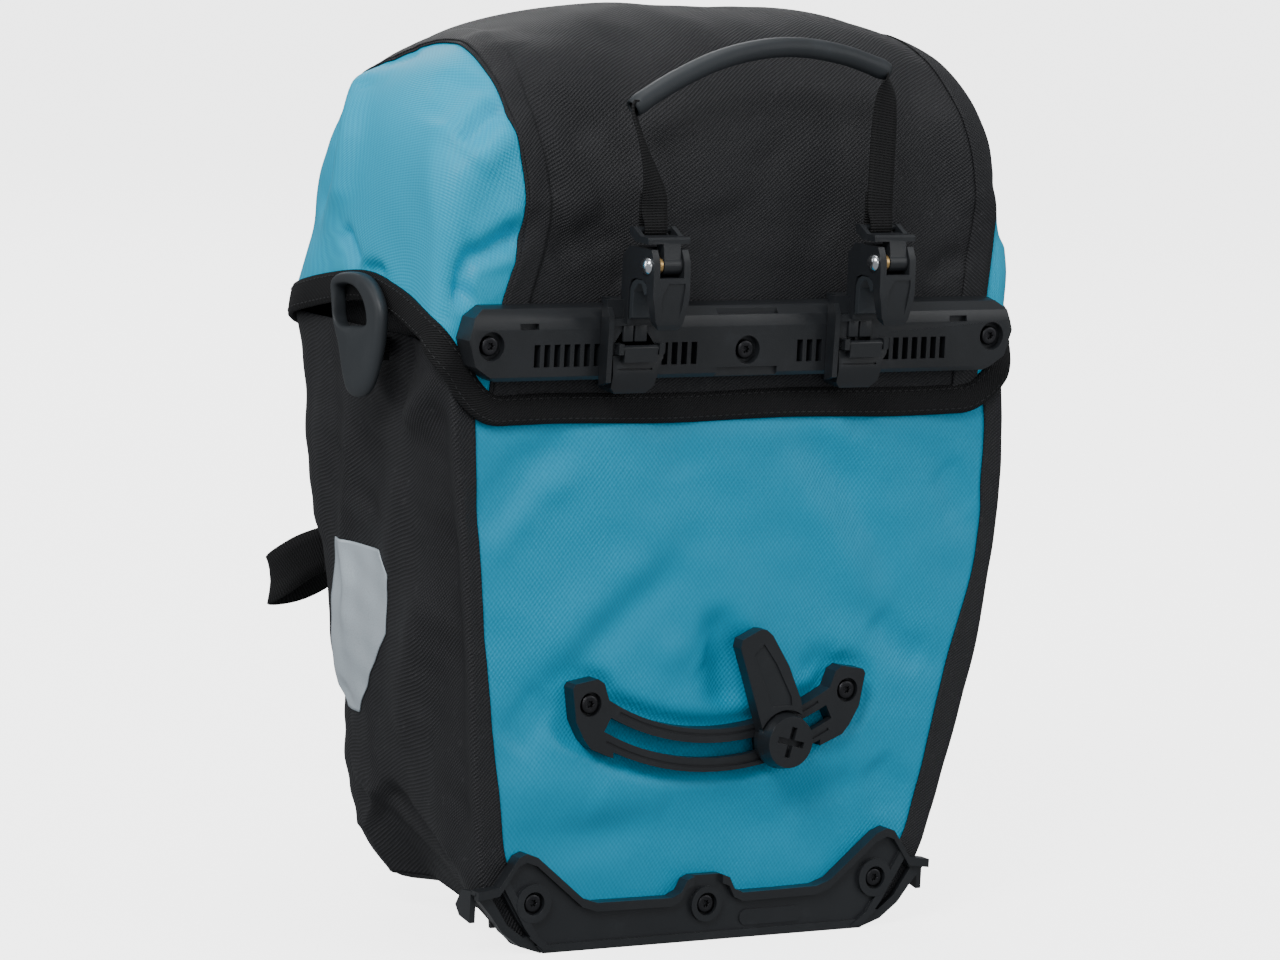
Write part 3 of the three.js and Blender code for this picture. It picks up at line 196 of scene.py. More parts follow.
def tangents(line, closed=False):
    if closed:
        return unit(np.roll(line, -1, axis=0) - np.roll(line, 1, axis=0))
    return unit(np.gradient(line, axis=0))


# ---------------------------------------------------------------- small tools for objects
def new_object(name, vertices, faces, uv=None, edges=()):
    """A mesh object from millimetres, smooth shaded, with a UV map in metres where one is given."""
    mesh = bpy.data.meshes.new(name)
    mesh.from_pydata((np.asarray(vertices, float).reshape(-1, 3) * MM).tolist(), edges, faces)
    if uv is not None:
        layer = mesh.uv_layers.new(name="cloth")
        places = np.zeros(len(mesh.loops), np.int32)
        mesh.loops.foreach_get("vertex_index", places)
        layer.data.foreach_set("uv", (np.asarray(uv, float).reshape(-1, 2)[places] * MM).astype(np.float32).ravel())
    mesh.shade_smooth()
    obj = bpy.data.objects.new(name, mesh)
    bpy.context.scene.collection.objects.link(obj)
    return obj


def grid_faces(rows, columns, wrap=False, flip=False):
    faces = []
    for i in range(rows - 1):
        for j in range(columns if wrap else columns - 1):
            k = (j + 1) % columns
            quad = (i * columns + j, i * columns + k, (i + 1) * columns + k, (i + 1) * columns + j)
            faces.append(quad[::-1] if flip else quad)
    return faces


def capped_faces(rows, columns):
    """The faces of a grid that is closed round, and at both ends."""
    ends = [tuple(range(columns))[::-1], tuple(range((rows - 1) * columns, rows * columns))]
    return grid_faces(rows, columns, wrap=True) + ends


def level_row(x, y, z):
    """Points at one height."""
    return np.column_stack([x, y, np.full(len(x), z)])


def strip_map(across, along, shape):
    """A cloth map from each column's place across and each row's place along."""
    return np.stack([np.broadcast_to(across, shape), np.broadcast_to(along[:, None], shape)], axis=-1)


def grid_normals(grid, away):
    """The unit normals of a grid of points, turned away from a place inside."""
    normals = unit(np.cross(np.gradient(grid, axis=1), np.gradient(grid, axis=0)))
    return normals * np.where(np.sum(normals * (grid - away), axis=-1, keepdims=True) < 0, -1, 1)


def run_lengths(grid):
    """Each point's place along and up a grid, as cloth laid flat would have it."""
    across = np.linalg.norm(np.diff(grid, axis=1), axis=2)
    up = np.linalg.norm(np.diff(grid, axis=0), axis=2)
    u = np.concatenate([np.zeros((grid.shape[0], 1)), np.cumsum(across, axis=1)], axis=1)
    v = np.concatenate([np.zeros((1, grid.shape[1])), np.cumsum(up, axis=0)], axis=0)
    return np.stack([u - u.mean(axis=1, keepdims=True), v], axis=-1)


def apply_all(obj):
    """Bakes an object's modifiers into a fresh mesh."""
    view = bpy.context.evaluated_depsgraph_get()
    mesh = bpy.data.meshes.new_from_object(obj.evaluated_get(view), preserve_all_data_layers=True, depsgraph=view)
    old = obj.data
    obj.modifiers.clear()
    obj.data = mesh
    mesh.name = obj.name
    bpy.data.meshes.remove(old)


def face_outwards(obj):
    shape = bmesh.new()
    shape.from_mesh(obj.data)
    bmesh.ops.remove_doubles(shape, verts=shape.verts, dist=1e-7)
    bmesh.ops.recalc_face_normals(shape, faces=shape.faces)
    shape.to_mesh(obj.data)
    shape.free()


def solid(name, vertices, faces, finish, uv=None, sharp=None):
    """A closed piece with its faces outwards; edges sharper than some degrees stay sharp."""
    obj = new_object(name, vertices, faces, uv)
    face_outwards(obj)
    obj.data.materials.append(finish)
    if sharp is not None:
        obj.data.set_sharp_from_angle(angle=math.radians(sharp))
    return obj


def give_wall(obj, wall, offset=0):
    """Gives a sheet its thickness: inwards with an offset of -1, to both sides with 0."""
    thicken = obj.modifiers.new("wall", "SOLIDIFY")
    thicken.thickness, thicken.offset = wall, offset
    apply_all(obj)


def cloth(name, grid, away, finish, wall):
    """A sheet of cloth from a grid of points on its outer side, with its wall inwards."""
    rows, columns = grid.shape[:2]
    middle = grid[rows // 2, columns // 2]
    a, b, c = grid[rows // 2, columns // 2 + 1], grid[rows // 2 + 1, columns // 2], middle
    flip = np.dot(np.cross(a - c, b - c), middle - away) < 0
    obj = new_object(name, grid, grid_faces(rows, columns, flip=flip), run_lengths(grid))
    obj.data.materials.append(finish)
    give_wall(obj, wall, -1)
    return obj


def ribbon(name, line, across, width, thickness, finish):
    """A flat strap along a line of points, its width along the across directions, closed all round."""
    line = np.asarray(line, float)
    width = np.broadcast_to(np.asarray(width, float).reshape(-1, 1), (len(line), 1))
    across = unit(np.broadcast_to(np.asarray(across, float), line.shape))
    flat = unit(np.cross(tangents(line), across))
    across = unit(np.cross(flat, tangents(line)))
    half = thickness / 2
    edge = [(-0.5, 0), (-0.485, half), (-0.25, half), (0, half), (0.25, half), (0.485, half),
            (0.5, 0), (0.485, -half), (0.25, -half), (0, -half), (-0.25, -half), (-0.485, -half)]
    rings = [line + across * (width * w) + flat * t for w, t in edge]
    grid = np.stack(rings, axis=1)
    uv = strip_map(np.array([w for w, _ in edge]) * float(width.mean()), run_along(line), grid.shape[:2])
    return solid(name, grid, capped_faces(len(line), len(edge)), finish, uv)


def tube(name, line, radius, finish, sides, closed=False, inner=0.0, up=(0, 0, 1)):
    """A round rod along a line, closed on itself or, with an inner radius, a pipe."""
    line = np.asarray(line, float)
    radius = np.broadcast_to(np.asarray(radius, float), (len(line),))
    along = tangents(line, closed)
    flat = unit(np.cross(along, np.broadcast_to(np.asarray(up, float), line.shape)))
    rise = unit(np.cross(flat, along))
    turn = np.arange(sides) / sides * 2 * math.pi

    def rings(r):
        return (line[:, None] + flat[:, None] * np.cos(turn)[None, :, None] * r[:, None, None]
                + rise[:, None] * np.sin(turn)[None, :, None] * r[:, None, None])

    skin = rings(radius)
    if inner:
        skin = np.concatenate([skin, rings(np.full(len(line), inner))[::-1]])
    if inner or closed:
        skin = np.concatenate([skin, skin[:1]])
    faces = grid_faces(len(skin), sides, wrap=True) if inner or closed else capped_faces(len(skin), sides)
    uv = strip_map(turn * float(radius.mean()), run_along(skin[:, 0]), skin.shape[:2])
    return solid(name, skin, faces, finish, uv)


def lathe(name, profile, origin, axis, finish, sides):
    """A turned shape: the profile is (distance along the axis, radius), closed at both ends on the axis."""
    axis = unit(np.array(axis, float))
    side = unit(np.cross(axis, [0.3, 0.5, 0.81]))
    other = np.cross(axis, side)
    turn = np.arange(sides) / sides * 2 * math.pi
    ring = np.cos(turn)[:, None] * side + np.sin(turn)[:, None] * other
    points = [np.array(origin) + axis * along + ring * radius for along, radius in profile]
    return solid(name, np.array(points), capped_faces(len(profile), sides), finish, sharp=40)


def rounded_copy(node, name, finish, width, segments=2):
    """A CAD node with its loose triangles joined, its flat faces made whole and its edges rounded."""
    source = frame["nodes"][node]
    mesh = source.data.copy()
    mesh.name = name
    mesh.materials.clear()
    for layer in list(mesh.uv_layers):
        mesh.uv_layers.remove(layer)
    if mesh.has_custom_normals:
        mesh.attributes.remove(mesh.attributes["custom_normal"])
    obj = bpy.data.objects.new(name, mesh)
    bpy.context.scene.collection.objects.link(obj)
    shape = bmesh.new()
    shape.from_mesh(mesh)
    bmesh.ops.remove_doubles(shape, verts=shape.verts, dist=4e-6)
    bmesh.ops.dissolve_limit(shape, angle_limit=math.radians(1.2), verts=shape.verts, edges=shape.edges)
    shape.to_mesh(mesh)
    shape.free()
    mesh.materials.append(finish)
    mesh.shade_smooth()
    bevel = obj.modifiers.new("edges", "BEVEL")
    bevel.width = width * MM
    bevel.segments = segments
    bevel.limit_method = "ANGLE"
    bevel.angle_limit = math.radians(28)
    bevel.use_clamp_overlap = True
    apply_all(obj)
    obj.data.shade_smooth()
    obj.data.set_sharp_from_angle(angle=math.radians(38))
    even = obj.modifiers.new("shading", "WEIGHTED_NORMAL")
    even.keep_sharp = True
    even.weight = 80
    return obj


def on(obj, body, slot, *nodes):
    """Puts a piece on its body, with the nodes it stands for; the slot of its finish is not used."""
    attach(obj, body)
    if nodes:
        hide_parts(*nodes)


# ---------------------------------------------------------------- shader wiring
class Wire:
    """An output socket that takes part in Python sums."""

    def __init__(self, nodes, socket):
        self.nodes, self.socket = nodes, socket

    def maths(self, operation, *values):
        return self.nodes.add("ShaderNodeMath", {"operation": operation}, dict(enumerate(values)))

    def __add__(self, other):
        return self.maths("ADD", self, other)

    def __sub__(self, other):
        return self.maths("SUBTRACT", self, other)

    def __rsub__(self, other):
        return self.maths("SUBTRACT", other, self)

    def __mul__(self, other):
        return self.maths("MULTIPLY", self, other)

    __radd__, __rmul__ = __add__, __mul__

    def sine(self):
        return self.maths("SINE", self)

    def ramp(self, low, high):
        """0 below low, 1 above high, soft between."""
        return self.nodes.add("ShaderNodeMapRange", {"interpolation_type": "SMOOTHSTEP"},
                              {"Value": self, "From Min": low, "From Max": high})


class Tree:
    """A node tree whose nodes are all added one way."""

    def add(self, kind, settings=None, sockets=None, out=0):
        made = self.tree.nodes.new(kind)
        for key, value in (settings or {}).items():
            setattr(made, key, value)
        for key, value in (sockets or {}).items():
            if isinstance(value, Wire):
                self.tree.links.new(value.socket, made.inputs[key])
            else:
                made.inputs[key].default_value = value
        return Wire(self, made.outputs[out]) if len(made.outputs) else made


class Nodes(Tree):
    """The nodes of one material."""

    def __init__(self, name):
        self.material = bpy.data.materials.new(name)
        self.material.use_nodes = True
        self.tree = self.material.node_tree
        self.tree.nodes.clear()

    def split(self, vector):
        made = self.add("ShaderNodeSeparateXYZ", None, {0: vector})
        return [Wire(self, output) for output in made.socket.node.outputs]

    def cloth_place(self):
        """Across and along the cloth, in millimetres."""
        across, along, _ = self.split(self.add("ShaderNodeUVMap", {"uv_map": "cloth"}))
        return across * 1000, along * 1000

    def place(self):
        return self.add("ShaderNodeTexCoord", None, None, "Object")

    def noise(self, where, scale, detail=3.0, rough=0.55):
        return self.add("ShaderNodeTexNoise", None,
                        {"Vector": where, "Scale": scale, "Detail": detail, "Roughness": rough})

    def mix(self, share, first, second):
        return self.add("ShaderNodeMix", {"data_type": "RGBA"}, {0: share, 6: first, 7: second}, 2)

    def bump(self, height, distance, strength):
        return self.add("ShaderNodeBump", None, {"Height": height, "Distance": distance, "Strength": strength})

    def finish(self, **sockets):
        shader = self.add("ShaderNodeBsdfPrincipled", None, {k.replace("_", " "): v for k, v in sockets.items()})
        self.add("ShaderNodeOutputMaterial", None, {"Surface": shader})
        return self.material


class Repeat(Tree):
    """A Geometry Nodes tree that repeats a small shape, with named numbers for its sizes."""

    def __init__(self, name, **numbers):
        self.tree = bpy.data.node_groups.new(name, "GeometryNodeTree")
        face = self.tree.interface
        face.new_socket("Geometry", in_out="INPUT", socket_type="NodeSocketGeometry")
        self.values = {face.new_socket(label, in_out="INPUT", socket_type="NodeSocketFloat").identifier: value
                       for label, value in numbers.items()}
        face.new_socket("Geometry", in_out="OUTPUT", socket_type="NodeSocketGeometry")
        self.start = self.tree.nodes.new("NodeGroupInput")

    def given(self, label):
        return Wire(self, self.start.outputs[label])

    def build(self, obj, **sockets):
        """Sets the shape on the points, paints it and leaves the object a plain mesh."""
        finish = sockets.pop("finish")
        placed = self.add("GeometryNodeInstanceOnPoints", None, sockets)
        real = self.add("GeometryNodeRealizeInstances", None, {0: placed})
        painted = self.add("GeometryNodeSetMaterial", None, {"Geometry": real, "Material": finish})
        self.add("NodeGroupOutput", None, {0: painted})
        modifier = obj.modifiers.new(self.tree.name, "NODES")
        modifier.node_group = self.tree
        for identifier, value in self.values.items():
            modifier[identifier] = value
        apply_all(obj)


def shade(colour, factor):
    return (*[min(1.0, c * factor) for c in colour[:3]], 1.0)


FINISHES = {}


def finish_named(maker):
    """Each finish is made once and shared by the pieces that have it."""

    def shared(*args):
        key = (maker.__name__, *args)
        if key not in FINISHES:
            FINISHES[key] = maker(*args)
        return FINISHES[key]

    return shared


@finish_named
def coated_cloth(name, lift):
    """Satin coating over a plain weave whose threads show through as rows of small bumps, the bump tops painted
    lighter as highlights.
    """
    sizes = bpy.context.scene.pannier_cloth
    # A lift above 1 paints the whole cloth lighter, as painted light and sheen.
    colour = shade(tuple(sizes.panel_colour), lift)
    n = Nodes(name)
    u, v = n.cloth_place()
    step = 2 * math.pi / sizes.weave_pitch
    threads = (u * step).sine() * (v * (step * 0.8)).sine()
    where = n.place()
    patches = n.noise(where, 9.0, 2.0)
    fine = n.noise(where, 70.0, 3.0)
    depth = patches.ramp(0.35, 0.72) * 0.55 + 0.45
    height = threads * depth + fine * 0.5
    tone = n.mix(patches.ramp(0.3, 0.75), shade(colour, 0.93), shade(colour, 1.07))
    # Painted highlight: the tops of the thread bumps are mixed towards a paler blue.
    tone = n.mix((threads * depth).ramp(-0.9, 1.0) * 0.4, tone, shade(colour, 1.6))
    return n.finish(Base_Color=tone, Roughness=fine * 0.16 + 0.4, Specular_IOR_Level=0.32, Coat_Weight=0.05,
                    Coat_Roughness=0.3, Normal=n.bump(height, 0.00022, 0.7))


@finish_named
def twill_cloth(turn):
    """Matt coated cloth with a diagonal rib, turned by some degrees; the rib crests are painted lighter as
    highlights.
    """
    sizes = bpy.context.scene.pannier_cloth
    colour = tuple(sizes.gusset_colour)
    n = Nodes(f"twill_cloth_{turn}".replace("-", "m"))
    u, v = n.cloth_place()
    a = math.radians(turn)
    step = 2 * math.pi / sizes.twill_pitch
    ribs = (u * (math.sin(a) * step) + v * (math.cos(a) * step)).sine()
    turns = (u * (math.cos(a + 0.5) * step * 1.35) - v * (math.sin(a + 0.5) * step * 1.35)).sine()
    where = n.place()
    patches = n.noise(where, 11.0, 3.0)
    dust = n.noise(where, 260.0, 2.0)
    threads = ribs * (turns * 0.5 + 0.5)
    # Painted highlight and shade: the rib crests are painted up to 2.3 times lighter, the hollows darker.
    tone = n.mix(threads.ramp(-0.4, 1.0), shade(colour, 0.5), shade(colour, 2.3))
    tone = n.mix(patches.ramp(0.3, 0.8) * 0.45, tone, shade(colour, 1.35))
    tone = n.mix(dust.ramp(0.62, 0.8) * 0.12, tone, (0.16, 0.16, 0.165, 1.0))
    return n.finish(Base_Color=tone, Roughness=patches * 0.2 + 0.5, Specular_IOR_Level=0.42,
                    Normal=n.bump(threads + dust * 0.4, 0.0003, 0.85))


@finish_named
def strap_cloth(tone_up, rib_pitch, leaning):
    """Woven tape: ribs across and lengthwise yarns, the rib crests painted lighter as highlights, with paler worn
    patches.
    """
    colour = tuple(bpy.context.scene.pannier_straps.strap_colour)
    n = Nodes(f"strap_cloth_{len(FINISHES)}")
    u, v = n.cloth_place()
    step = 2 * math.pi / rib_pitch
    ribs = (v * step + u * (step * leaning)).sine()
    yarns = (u * (2 * math.pi / 1.7)).sine()
    where = n.place()
    fuzz = n.noise(where, 420.0, 2.0)
    wear = n.noise(where, 24.0, 3.0)
    threads = ribs * (yarns * 0.35 + 0.65)
    # Painted highlight and shade: the rib crests are painted lighter, the hollows darker.
    tone = n.mix(threads.ramp(-0.5, 1.0), shade(colour, 0.55 * tone_up), shade(colour, 1.9 * tone_up))
    tone = n.mix(wear.ramp(0.4, 0.8) * 0.3, tone, shade(colour, 2.4 * tone_up))
    return n.finish(Base_Color=tone, Roughness=wear * 0.15 + 0.68, Specular_IOR_Level=0.3,
                    Normal=n.bump(threads + fuzz * 0.5, 0.0003, 0.8))


@finish_named
def moulded_plastic(name, red, green, blue, rough, grain):
    """Moulded plastic: fine spark texture, slow colour drift, rubbed patches and light dust."""
    colour = (red, green, blue)
    n = Nodes(name)
    where = n.place()
    drift = n.noise(where, 18.0, 4.0)
    texture = n.noise(where, grain, 2.0)
    rubbed = n.noise(where, 55.0, 5.0, 0.65)
    tone = n.mix(drift.ramp(0.3, 0.75), shade(colour, 0.88), shade(colour, 1.14))
    tone = n.mix(rubbed.ramp(0.56, 0.78) * 0.4, tone, shade(colour, 1.9))
    return n.finish(Base_Color=tone, Roughness=rubbed * 0.24 + (rough - 0.12), Specular_IOR_Level=0.5,
                    Normal=n.bump(texture + rubbed * 0.3, 0.00009, 0.45))


@finish_named
def metal(name, red, green, blue, rough, scratch):
    """Plain or plated metal with fine scratches and duller spots."""
    colour = (red, green, blue)
    n = Nodes(name)
    where = n.place()
    x, y, z = n.split(where)
    lines = n.noise(n.add("ShaderNodeCombineXYZ", None, {0: x * 30, 1: y * 420, 2: z * 420}), 6.0, 3.0)
    spots = n.noise(where, 160.0, 4.0)
    tone = n.mix(spots.ramp(0.45, 0.75) * 0.5, shade(colour, 1.0), shade(colour, 0.72))
    return n.finish(Base_Color=tone, Metallic=1.0, Roughness=lines * scratch + rough,
                    Normal=n.bump(lines, 0.00004, 0.3))


@finish_named
def bead_film():
    """Pale reflecting film: a fine net of cells and a soft pearly drift."""
    n = Nodes("bead_film")
    where = n.place()
    cells = n.add("ShaderNodeTexVoronoi", {"feature": "DISTANCE_TO_EDGE"}, {"Vector": where, "Scale": 760.0})
    drift = n.noise(where, 14.0, 4.0)
    marks = n.noise(where, 120.0, 5.0, 0.7)
    colour = tuple(bpy.context.scene.pannier_trim.film_colour)
    tone = n.mix(cells.ramp(0.0, 0.12), shade(colour, 0.9), shade(colour, 1.02))
    tone = n.mix(drift.ramp(0.35, 0.7) * 0.5, tone, shade(colour, 1.16))
    tone = n.mix(marks.ramp(0.66, 0.8) * 0.35, tone, shade(colour, 0.7))
    return n.finish(Base_Color=tone, Roughness=drift * 0.2 + 0.3, Metallic=0.1, Coat_Weight=0.2, Coat_Roughness=0.2,
                    Normal=n.bump(cells.ramp(0.0, 0.2), 0.00006, 0.4))


@finish_named
def sewing_thread():
    n = Nodes("sewing_thread")
    where = n.place()
    x, y, z = n.split(where)
    twist = ((x + y + z) * 9000).sine()
    fuzz = n.noise(where, 900.0, 2.0)
    tone = n.mix(twist.ramp(-0.4, 1.0), (0.012, 0.012, 0.013, 1), (0.05, 0.05, 0.054, 1))
    return n.finish(Base_Color=tone, Roughness=fuzz * 0.2 + 0.6, Normal=n.bump(twist, 0.0001, 0.6))


def hard_plastic():
    trim = bpy.context.scene.pannier_trim
    return moulded_plastic("hard_plastic", *tuple(trim.plastic_colour), 0.36, 1500.0)


def soft_plastic():
    trim = bpy.context.scene.pannier_trim
    return moulded_plastic("soft_plastic", *tuple(trim.grip_colour), 0.5, 2200.0)


def board_plastic():
    return moulded_plastic("board_plastic", 0.045, 0.045, 0.047, 0.6, 600.0)


def steel():
    return metal("rivet_steel", 0.78, 0.8, 0.83, 0.12, 0.14)


def dark_steel():
    return metal("blackened_steel", 0.05, 0.05, 0.054, 0.3, 0.2)


def brass():
    return metal("spring_brass", 0.72, 0.47, 0.19, 0.22, 0.2)


def polyester_strap():
    return strap_cloth(1.0, 1.3, 0.0)


def hem_cloth():
    return strap_cloth(1.15, 1.5, 0.9)


# ---------------------------------------------------------------- what a user may change
COLOUR = {"size": 3, "min": 0, "max": 1, "subtype": "COLOR"}


class PannierClothSettings(bpy.types.PropertyGroup):
    """The cloth of the body and the lid."""

    panel_colour: bpy.props.FloatVectorProperty(
        name="Panel colour", description="Colour of the coated panels", default=(0.0, 0.35, 0.58), **COLOUR)
    gusset_colour: bpy.props.FloatVectorProperty(
        name="Gusset colour", description="Colour of the twill panels", default=(0.017, 0.0172, 0.0197), **COLOUR)
    weave_pitch: bpy.props.FloatProperty(
        name="Weave pitch", description="Two threads of the coated panels, in millimetres", default=2.3, min=0.5,
        max=6)
    twill_pitch: bpy.props.FloatProperty(
        name="Twill pitch", description="One rib of the twill to the next, in millimetres", default=1.45, min=0.5,
        max=6)
    wall: bpy.props.FloatProperty(
        name="Cloth thickness", description="Thickness of the cloth", default=0.0009, min=0.0003, max=0.003,
        unit="LENGTH")
    slack: bpy.props.FloatProperty(
        name="Slack", description="How deep the creases and dents are, 1 as drawn", default=1.0, min=0, max=2,
        subtype="FACTOR")


class PannierStrapSettings(bpy.types.PropertyGroup):
    """Webbing, hem tape and stitches."""

    strap_colour: bpy.props.FloatVectorProperty(
        name="Webbing colour", description="Colour of straps and tape", default=(0.009, 0.009, 0.0097), **COLOUR)
    strap_width: bpy.props.FloatProperty(
        name="Strap width", description="Width of the compression and lid straps", default=0.025, min=0.01,
        max=0.05, unit="LENGTH")
    strap_thickness: bpy.props.FloatProperty(
        name="Strap thickness", description="Thickness of the straps", default=0.0014, min=0.0005, max=0.004,
        unit="LENGTH")
    tape_width: bpy.props.FloatProperty(
        name="Hem tape width", description="Width of the tape that binds the lid's hem", default=0.0145, min=0.004,
        max=0.03, unit="LENGTH")
    handle_width: bpy.props.FloatProperty(
        name="Handle webbing width", description="Width of the handle's webbing", default=0.014, min=0.006,
        max=0.03, unit="LENGTH")
    stitch_length: bpy.props.FloatProperty(
        name="Stitch length", description="Length of one stitch", default=0.0026, min=0.001, max=0.008,
        unit="LENGTH")
    stitch_pitch: bpy.props.FloatProperty(
        name="Stitch pitch", description="From one stitch to the next", default=0.0036, min=0.0015, max=0.01,
        unit="LENGTH")


class PannierTrimSettings(bpy.types.PropertyGroup):
    """Moulded and metal parts."""

    plastic_colour: bpy.props.FloatVectorProperty(
        name="Plastic colour", description="Colour of rails, hooks and protector",
        default=(0.0185, 0.0205, 0.0235), **COLOUR)
    grip_colour: bpy.props.FloatVectorProperty(
        name="Grip colour", description="Colour of the grip and the side hooks", default=(0.028, 0.033, 0.038),
        **COLOUR)
    film_colour: bpy.props.FloatVectorProperty(
        name="Reflector colour", description="Colour of the reflecting film", default=(0.58, 0.66, 0.72), **COLOUR)


class PannierStageSettings(bpy.types.PropertyGroup):
    """Floor and light."""

    floor_colour: bpy.props.FloatVectorProperty(
        name="Floor colour", description="Colour of the floor and backdrop", default=(0.93, 0.93, 0.93), **COLOUR)
    light: bpy.props.FloatProperty(
        name="Light", description="Strength of the studio lamps, 1 as set", default=1.0, min=0, max=4,
        subtype="FACTOR")


# ---------------------------------------------------------------- shape of the body
GUSSET_FLANGE = 1.0  # how far the gusset's seam edge stands out from the back panel
FRONT_CORNER = 21.0  # radius of the body's street-side corners
REAR_CORNER = 3.0
SEAM_LAP = 0.9  # how far the gusset's seam edge stands out from the front
BODY_INSIDE = np.array([0.0, 70.0, 140.0])
BOARD_ROOM = 1.35  # how far in the back's cloth may lie before it meets the stiffening board
BOTTOM_ROUND = 22.0  # height below which the front turns in to the floor
FLOOR_LIFT = 15.0  # how far the floor's street side is drawn up
FLOOR_POINTS = 220  # round the floor's rim
ARC_MIDDLE, ARC_RADIUS = 226, 133  # of the curved lower rail

# Each entry is (line, width, height); places on the back are (X, Z), on the sides (Y, Z).
BACK_MARKS = [
    ([(-133, 196), (-123, 214), (-109, 231), (-91, 241), (-80, 244)], 10, 2.4),
    ([(-129, 183), (-116, 204), (-100, 219), (-82, 229)], 9, -1.2),
    ([(-99, 113), (-91, 123), (-77, 136), (-67, 147), (-52, 161), (-34, 173), (-19, 190)], 11, 2.3),
    ([(39, 250), (68, 219), (87, 189), (102, 165)], 13, 2.2),
    ([(30, 238), (58, 206), (77, 178), (90, 158)], 12, -1.3),
    ([(-92, 140), (-74, 158), (-52, 176), (-36, 190)], 13, -1.5),
    ([(-110, 96), (-99, 112), (-90, 124)], 11, 2.8),
    ([(-14, 146), (-2, 151), (4, 140), (6, 124), (8, 108)], 11, 3.4),
    ([(-34, 128), (-24, 140), (-12, 152), (0, 160), (14, 152), (22, 138)], 10, -1.6),
    ([(50, 124), (58, 131), (70, 131)], 8, 2.2),
    ([(88, 154), (106, 138), (123, 128)], 8, 2.0),
    ([(44, 55), (50, 62), (66, 68), (88, 74)], 9, 1.6),
    ([(-112, 56), (-85, 49), (-50, 56), (-15, 66)], 10, 1.5),
    ([(-70, 74), (-46, 66), (-20, 64)], 11, -1.3),
    ([(96, 84), (106, 66), (104, 52)], 9, 1.6),
    ([(66, 260), (72, 252), (80, 243)], 7, 1.8),
    ([(126, 226), (135, 213), (141, 200)], 7, 2.6),
    ([(20, 250), (34, 236), (60, 222), (90, 214)], 14, 1.2),
    ([(-40, 262), (-28, 244), (-22, 222)], 12, 1.1),
]
SIDE_MARKS = [
    ([(1, 280), (12, 267), (24, 257), (40, 244)], 9, 3.6),
    ([(30, 292), (42, 272), (58, 250)], 11, -1.6),
    ([(97, 256), (96, 233), (102, 197), (106, 178), (103, 160), (107, 130)], 5, 1.5),
    ([(30, 178), (36, 152), (56, 116), (58, 86)], 14, 2.6),
    ([(14, 214), (17, 176), (20, 130), (24, 80)], 12, -1.8),
    ([(118, 76), (98, 66), (77, 46), (48, 37), (24, 30)], 7, 1.5),
    ([(66, 236), (78, 216), (84, 194)], 17, -2.2),
    ([(50, 226), (58, 200), (62, 170)], 12, 1.4),
    ([(120, 250), (126, 214), (128, 176)], 10, 1.6),
    ([(112, 112), (122, 96), (124, 80)], 9, -1.5),
]
FRONT_MARKS = [
    ([(-120, 250), (-90, 228), (-66, 196)], 14, -1.8),
    ([(-60, 262), (-36, 236), (-24, 208)], 12, -1.4),
    ([(118, 246), (92, 226), (70, 190)], 14, -1.8),
    ([(-104, 140), (-70, 124), (-40, 96)], 15, -1.6),
    ([(96, 148), (70, 120), (46, 96)], 15, -1.6),
    ([(-40, 60), (0, 52), (44, 62)], 12, 1.4),
    ([(-110, 70), (-86, 60), (-60, 40)], 12, 1.4),
    ([(104, 84), (90, 62), (60, 44)], 12, 1.4),
    ([(20, 250), (40, 232), (66, 222)], 12, 1.2),
]


def half_width(z):
    return FLOOR_HALF_WIDTH + (RIM_HALF_WIDTH - FLOOR_HALF_WIDTH) * z / RIM_HEIGHT


def depth(z):
    return FLOOR_DEPTH + (RIM_DEPTH - FLOOR_DEPTH) * z / RIM_HEIGHT


def rear_corner(z, side):
    """How far out the rear edge of the body stands."""
    if side == LEFT:
        return rounded_table(z, (0, 97), (6, 103), (14, 112), (24, 120), (36, 124.5), (75, 129), (122, 134),
                             (188, 141.5), (254, 151), (296, 156))
    return rounded_table(z, (0, 97), (6, 103), (14, 112), (24, 120), (34, 126), (58, 134), (98, 144.5),
                         (137, 153.5), (190, 161.5), (232, 163), (262, 160), (290, 156))


def flange_edge(z, side):
    """Where the gusset's seam edge ends on the back panel."""
    if side == LEFT:
        return -rounded_table(z, (0, 84), (12, 88), (26, 103), (45, 110), (74, 115), (112, 121.7), (150, 127.6),
                              (188, 132), (226, 136), (261, 138.6), (290, 141))
    return rounded_table(z, (0, 84), (12, 88), (28, 106), (45, 117), (80, 125), (109, 130.7), (139, 137.5),
                         (173, 148), (200, 151), (214, 149.5), (237, 150.6), (260, 148), (290, 147))


def under_rails(x, z):
    """1 where the lower rail or the protector presses on the back panel, 0 away from them."""
    turn = np.degrees(np.arctan2(np.abs(x), ARC_MIDDLE - z))
    ring = np.abs(np.hypot(x, ARC_MIDDLE - z) - ARC_RADIUS)
    rail = smooth(19, 11, ring) * smooth(37, 32, turn)
    lobes = smooth(22, 15, np.hypot(np.abs(x) - 74, z - 116))
    guard = smooth(12, 2, z - rounded_table(np.abs(x), (0, 30), (16, 28), (26, 22), (62, 23), (80, 32), (101, 50),
                                            (116, 34), (130, 32)))
    return np.maximum.reduce([rail, lobes, guard])


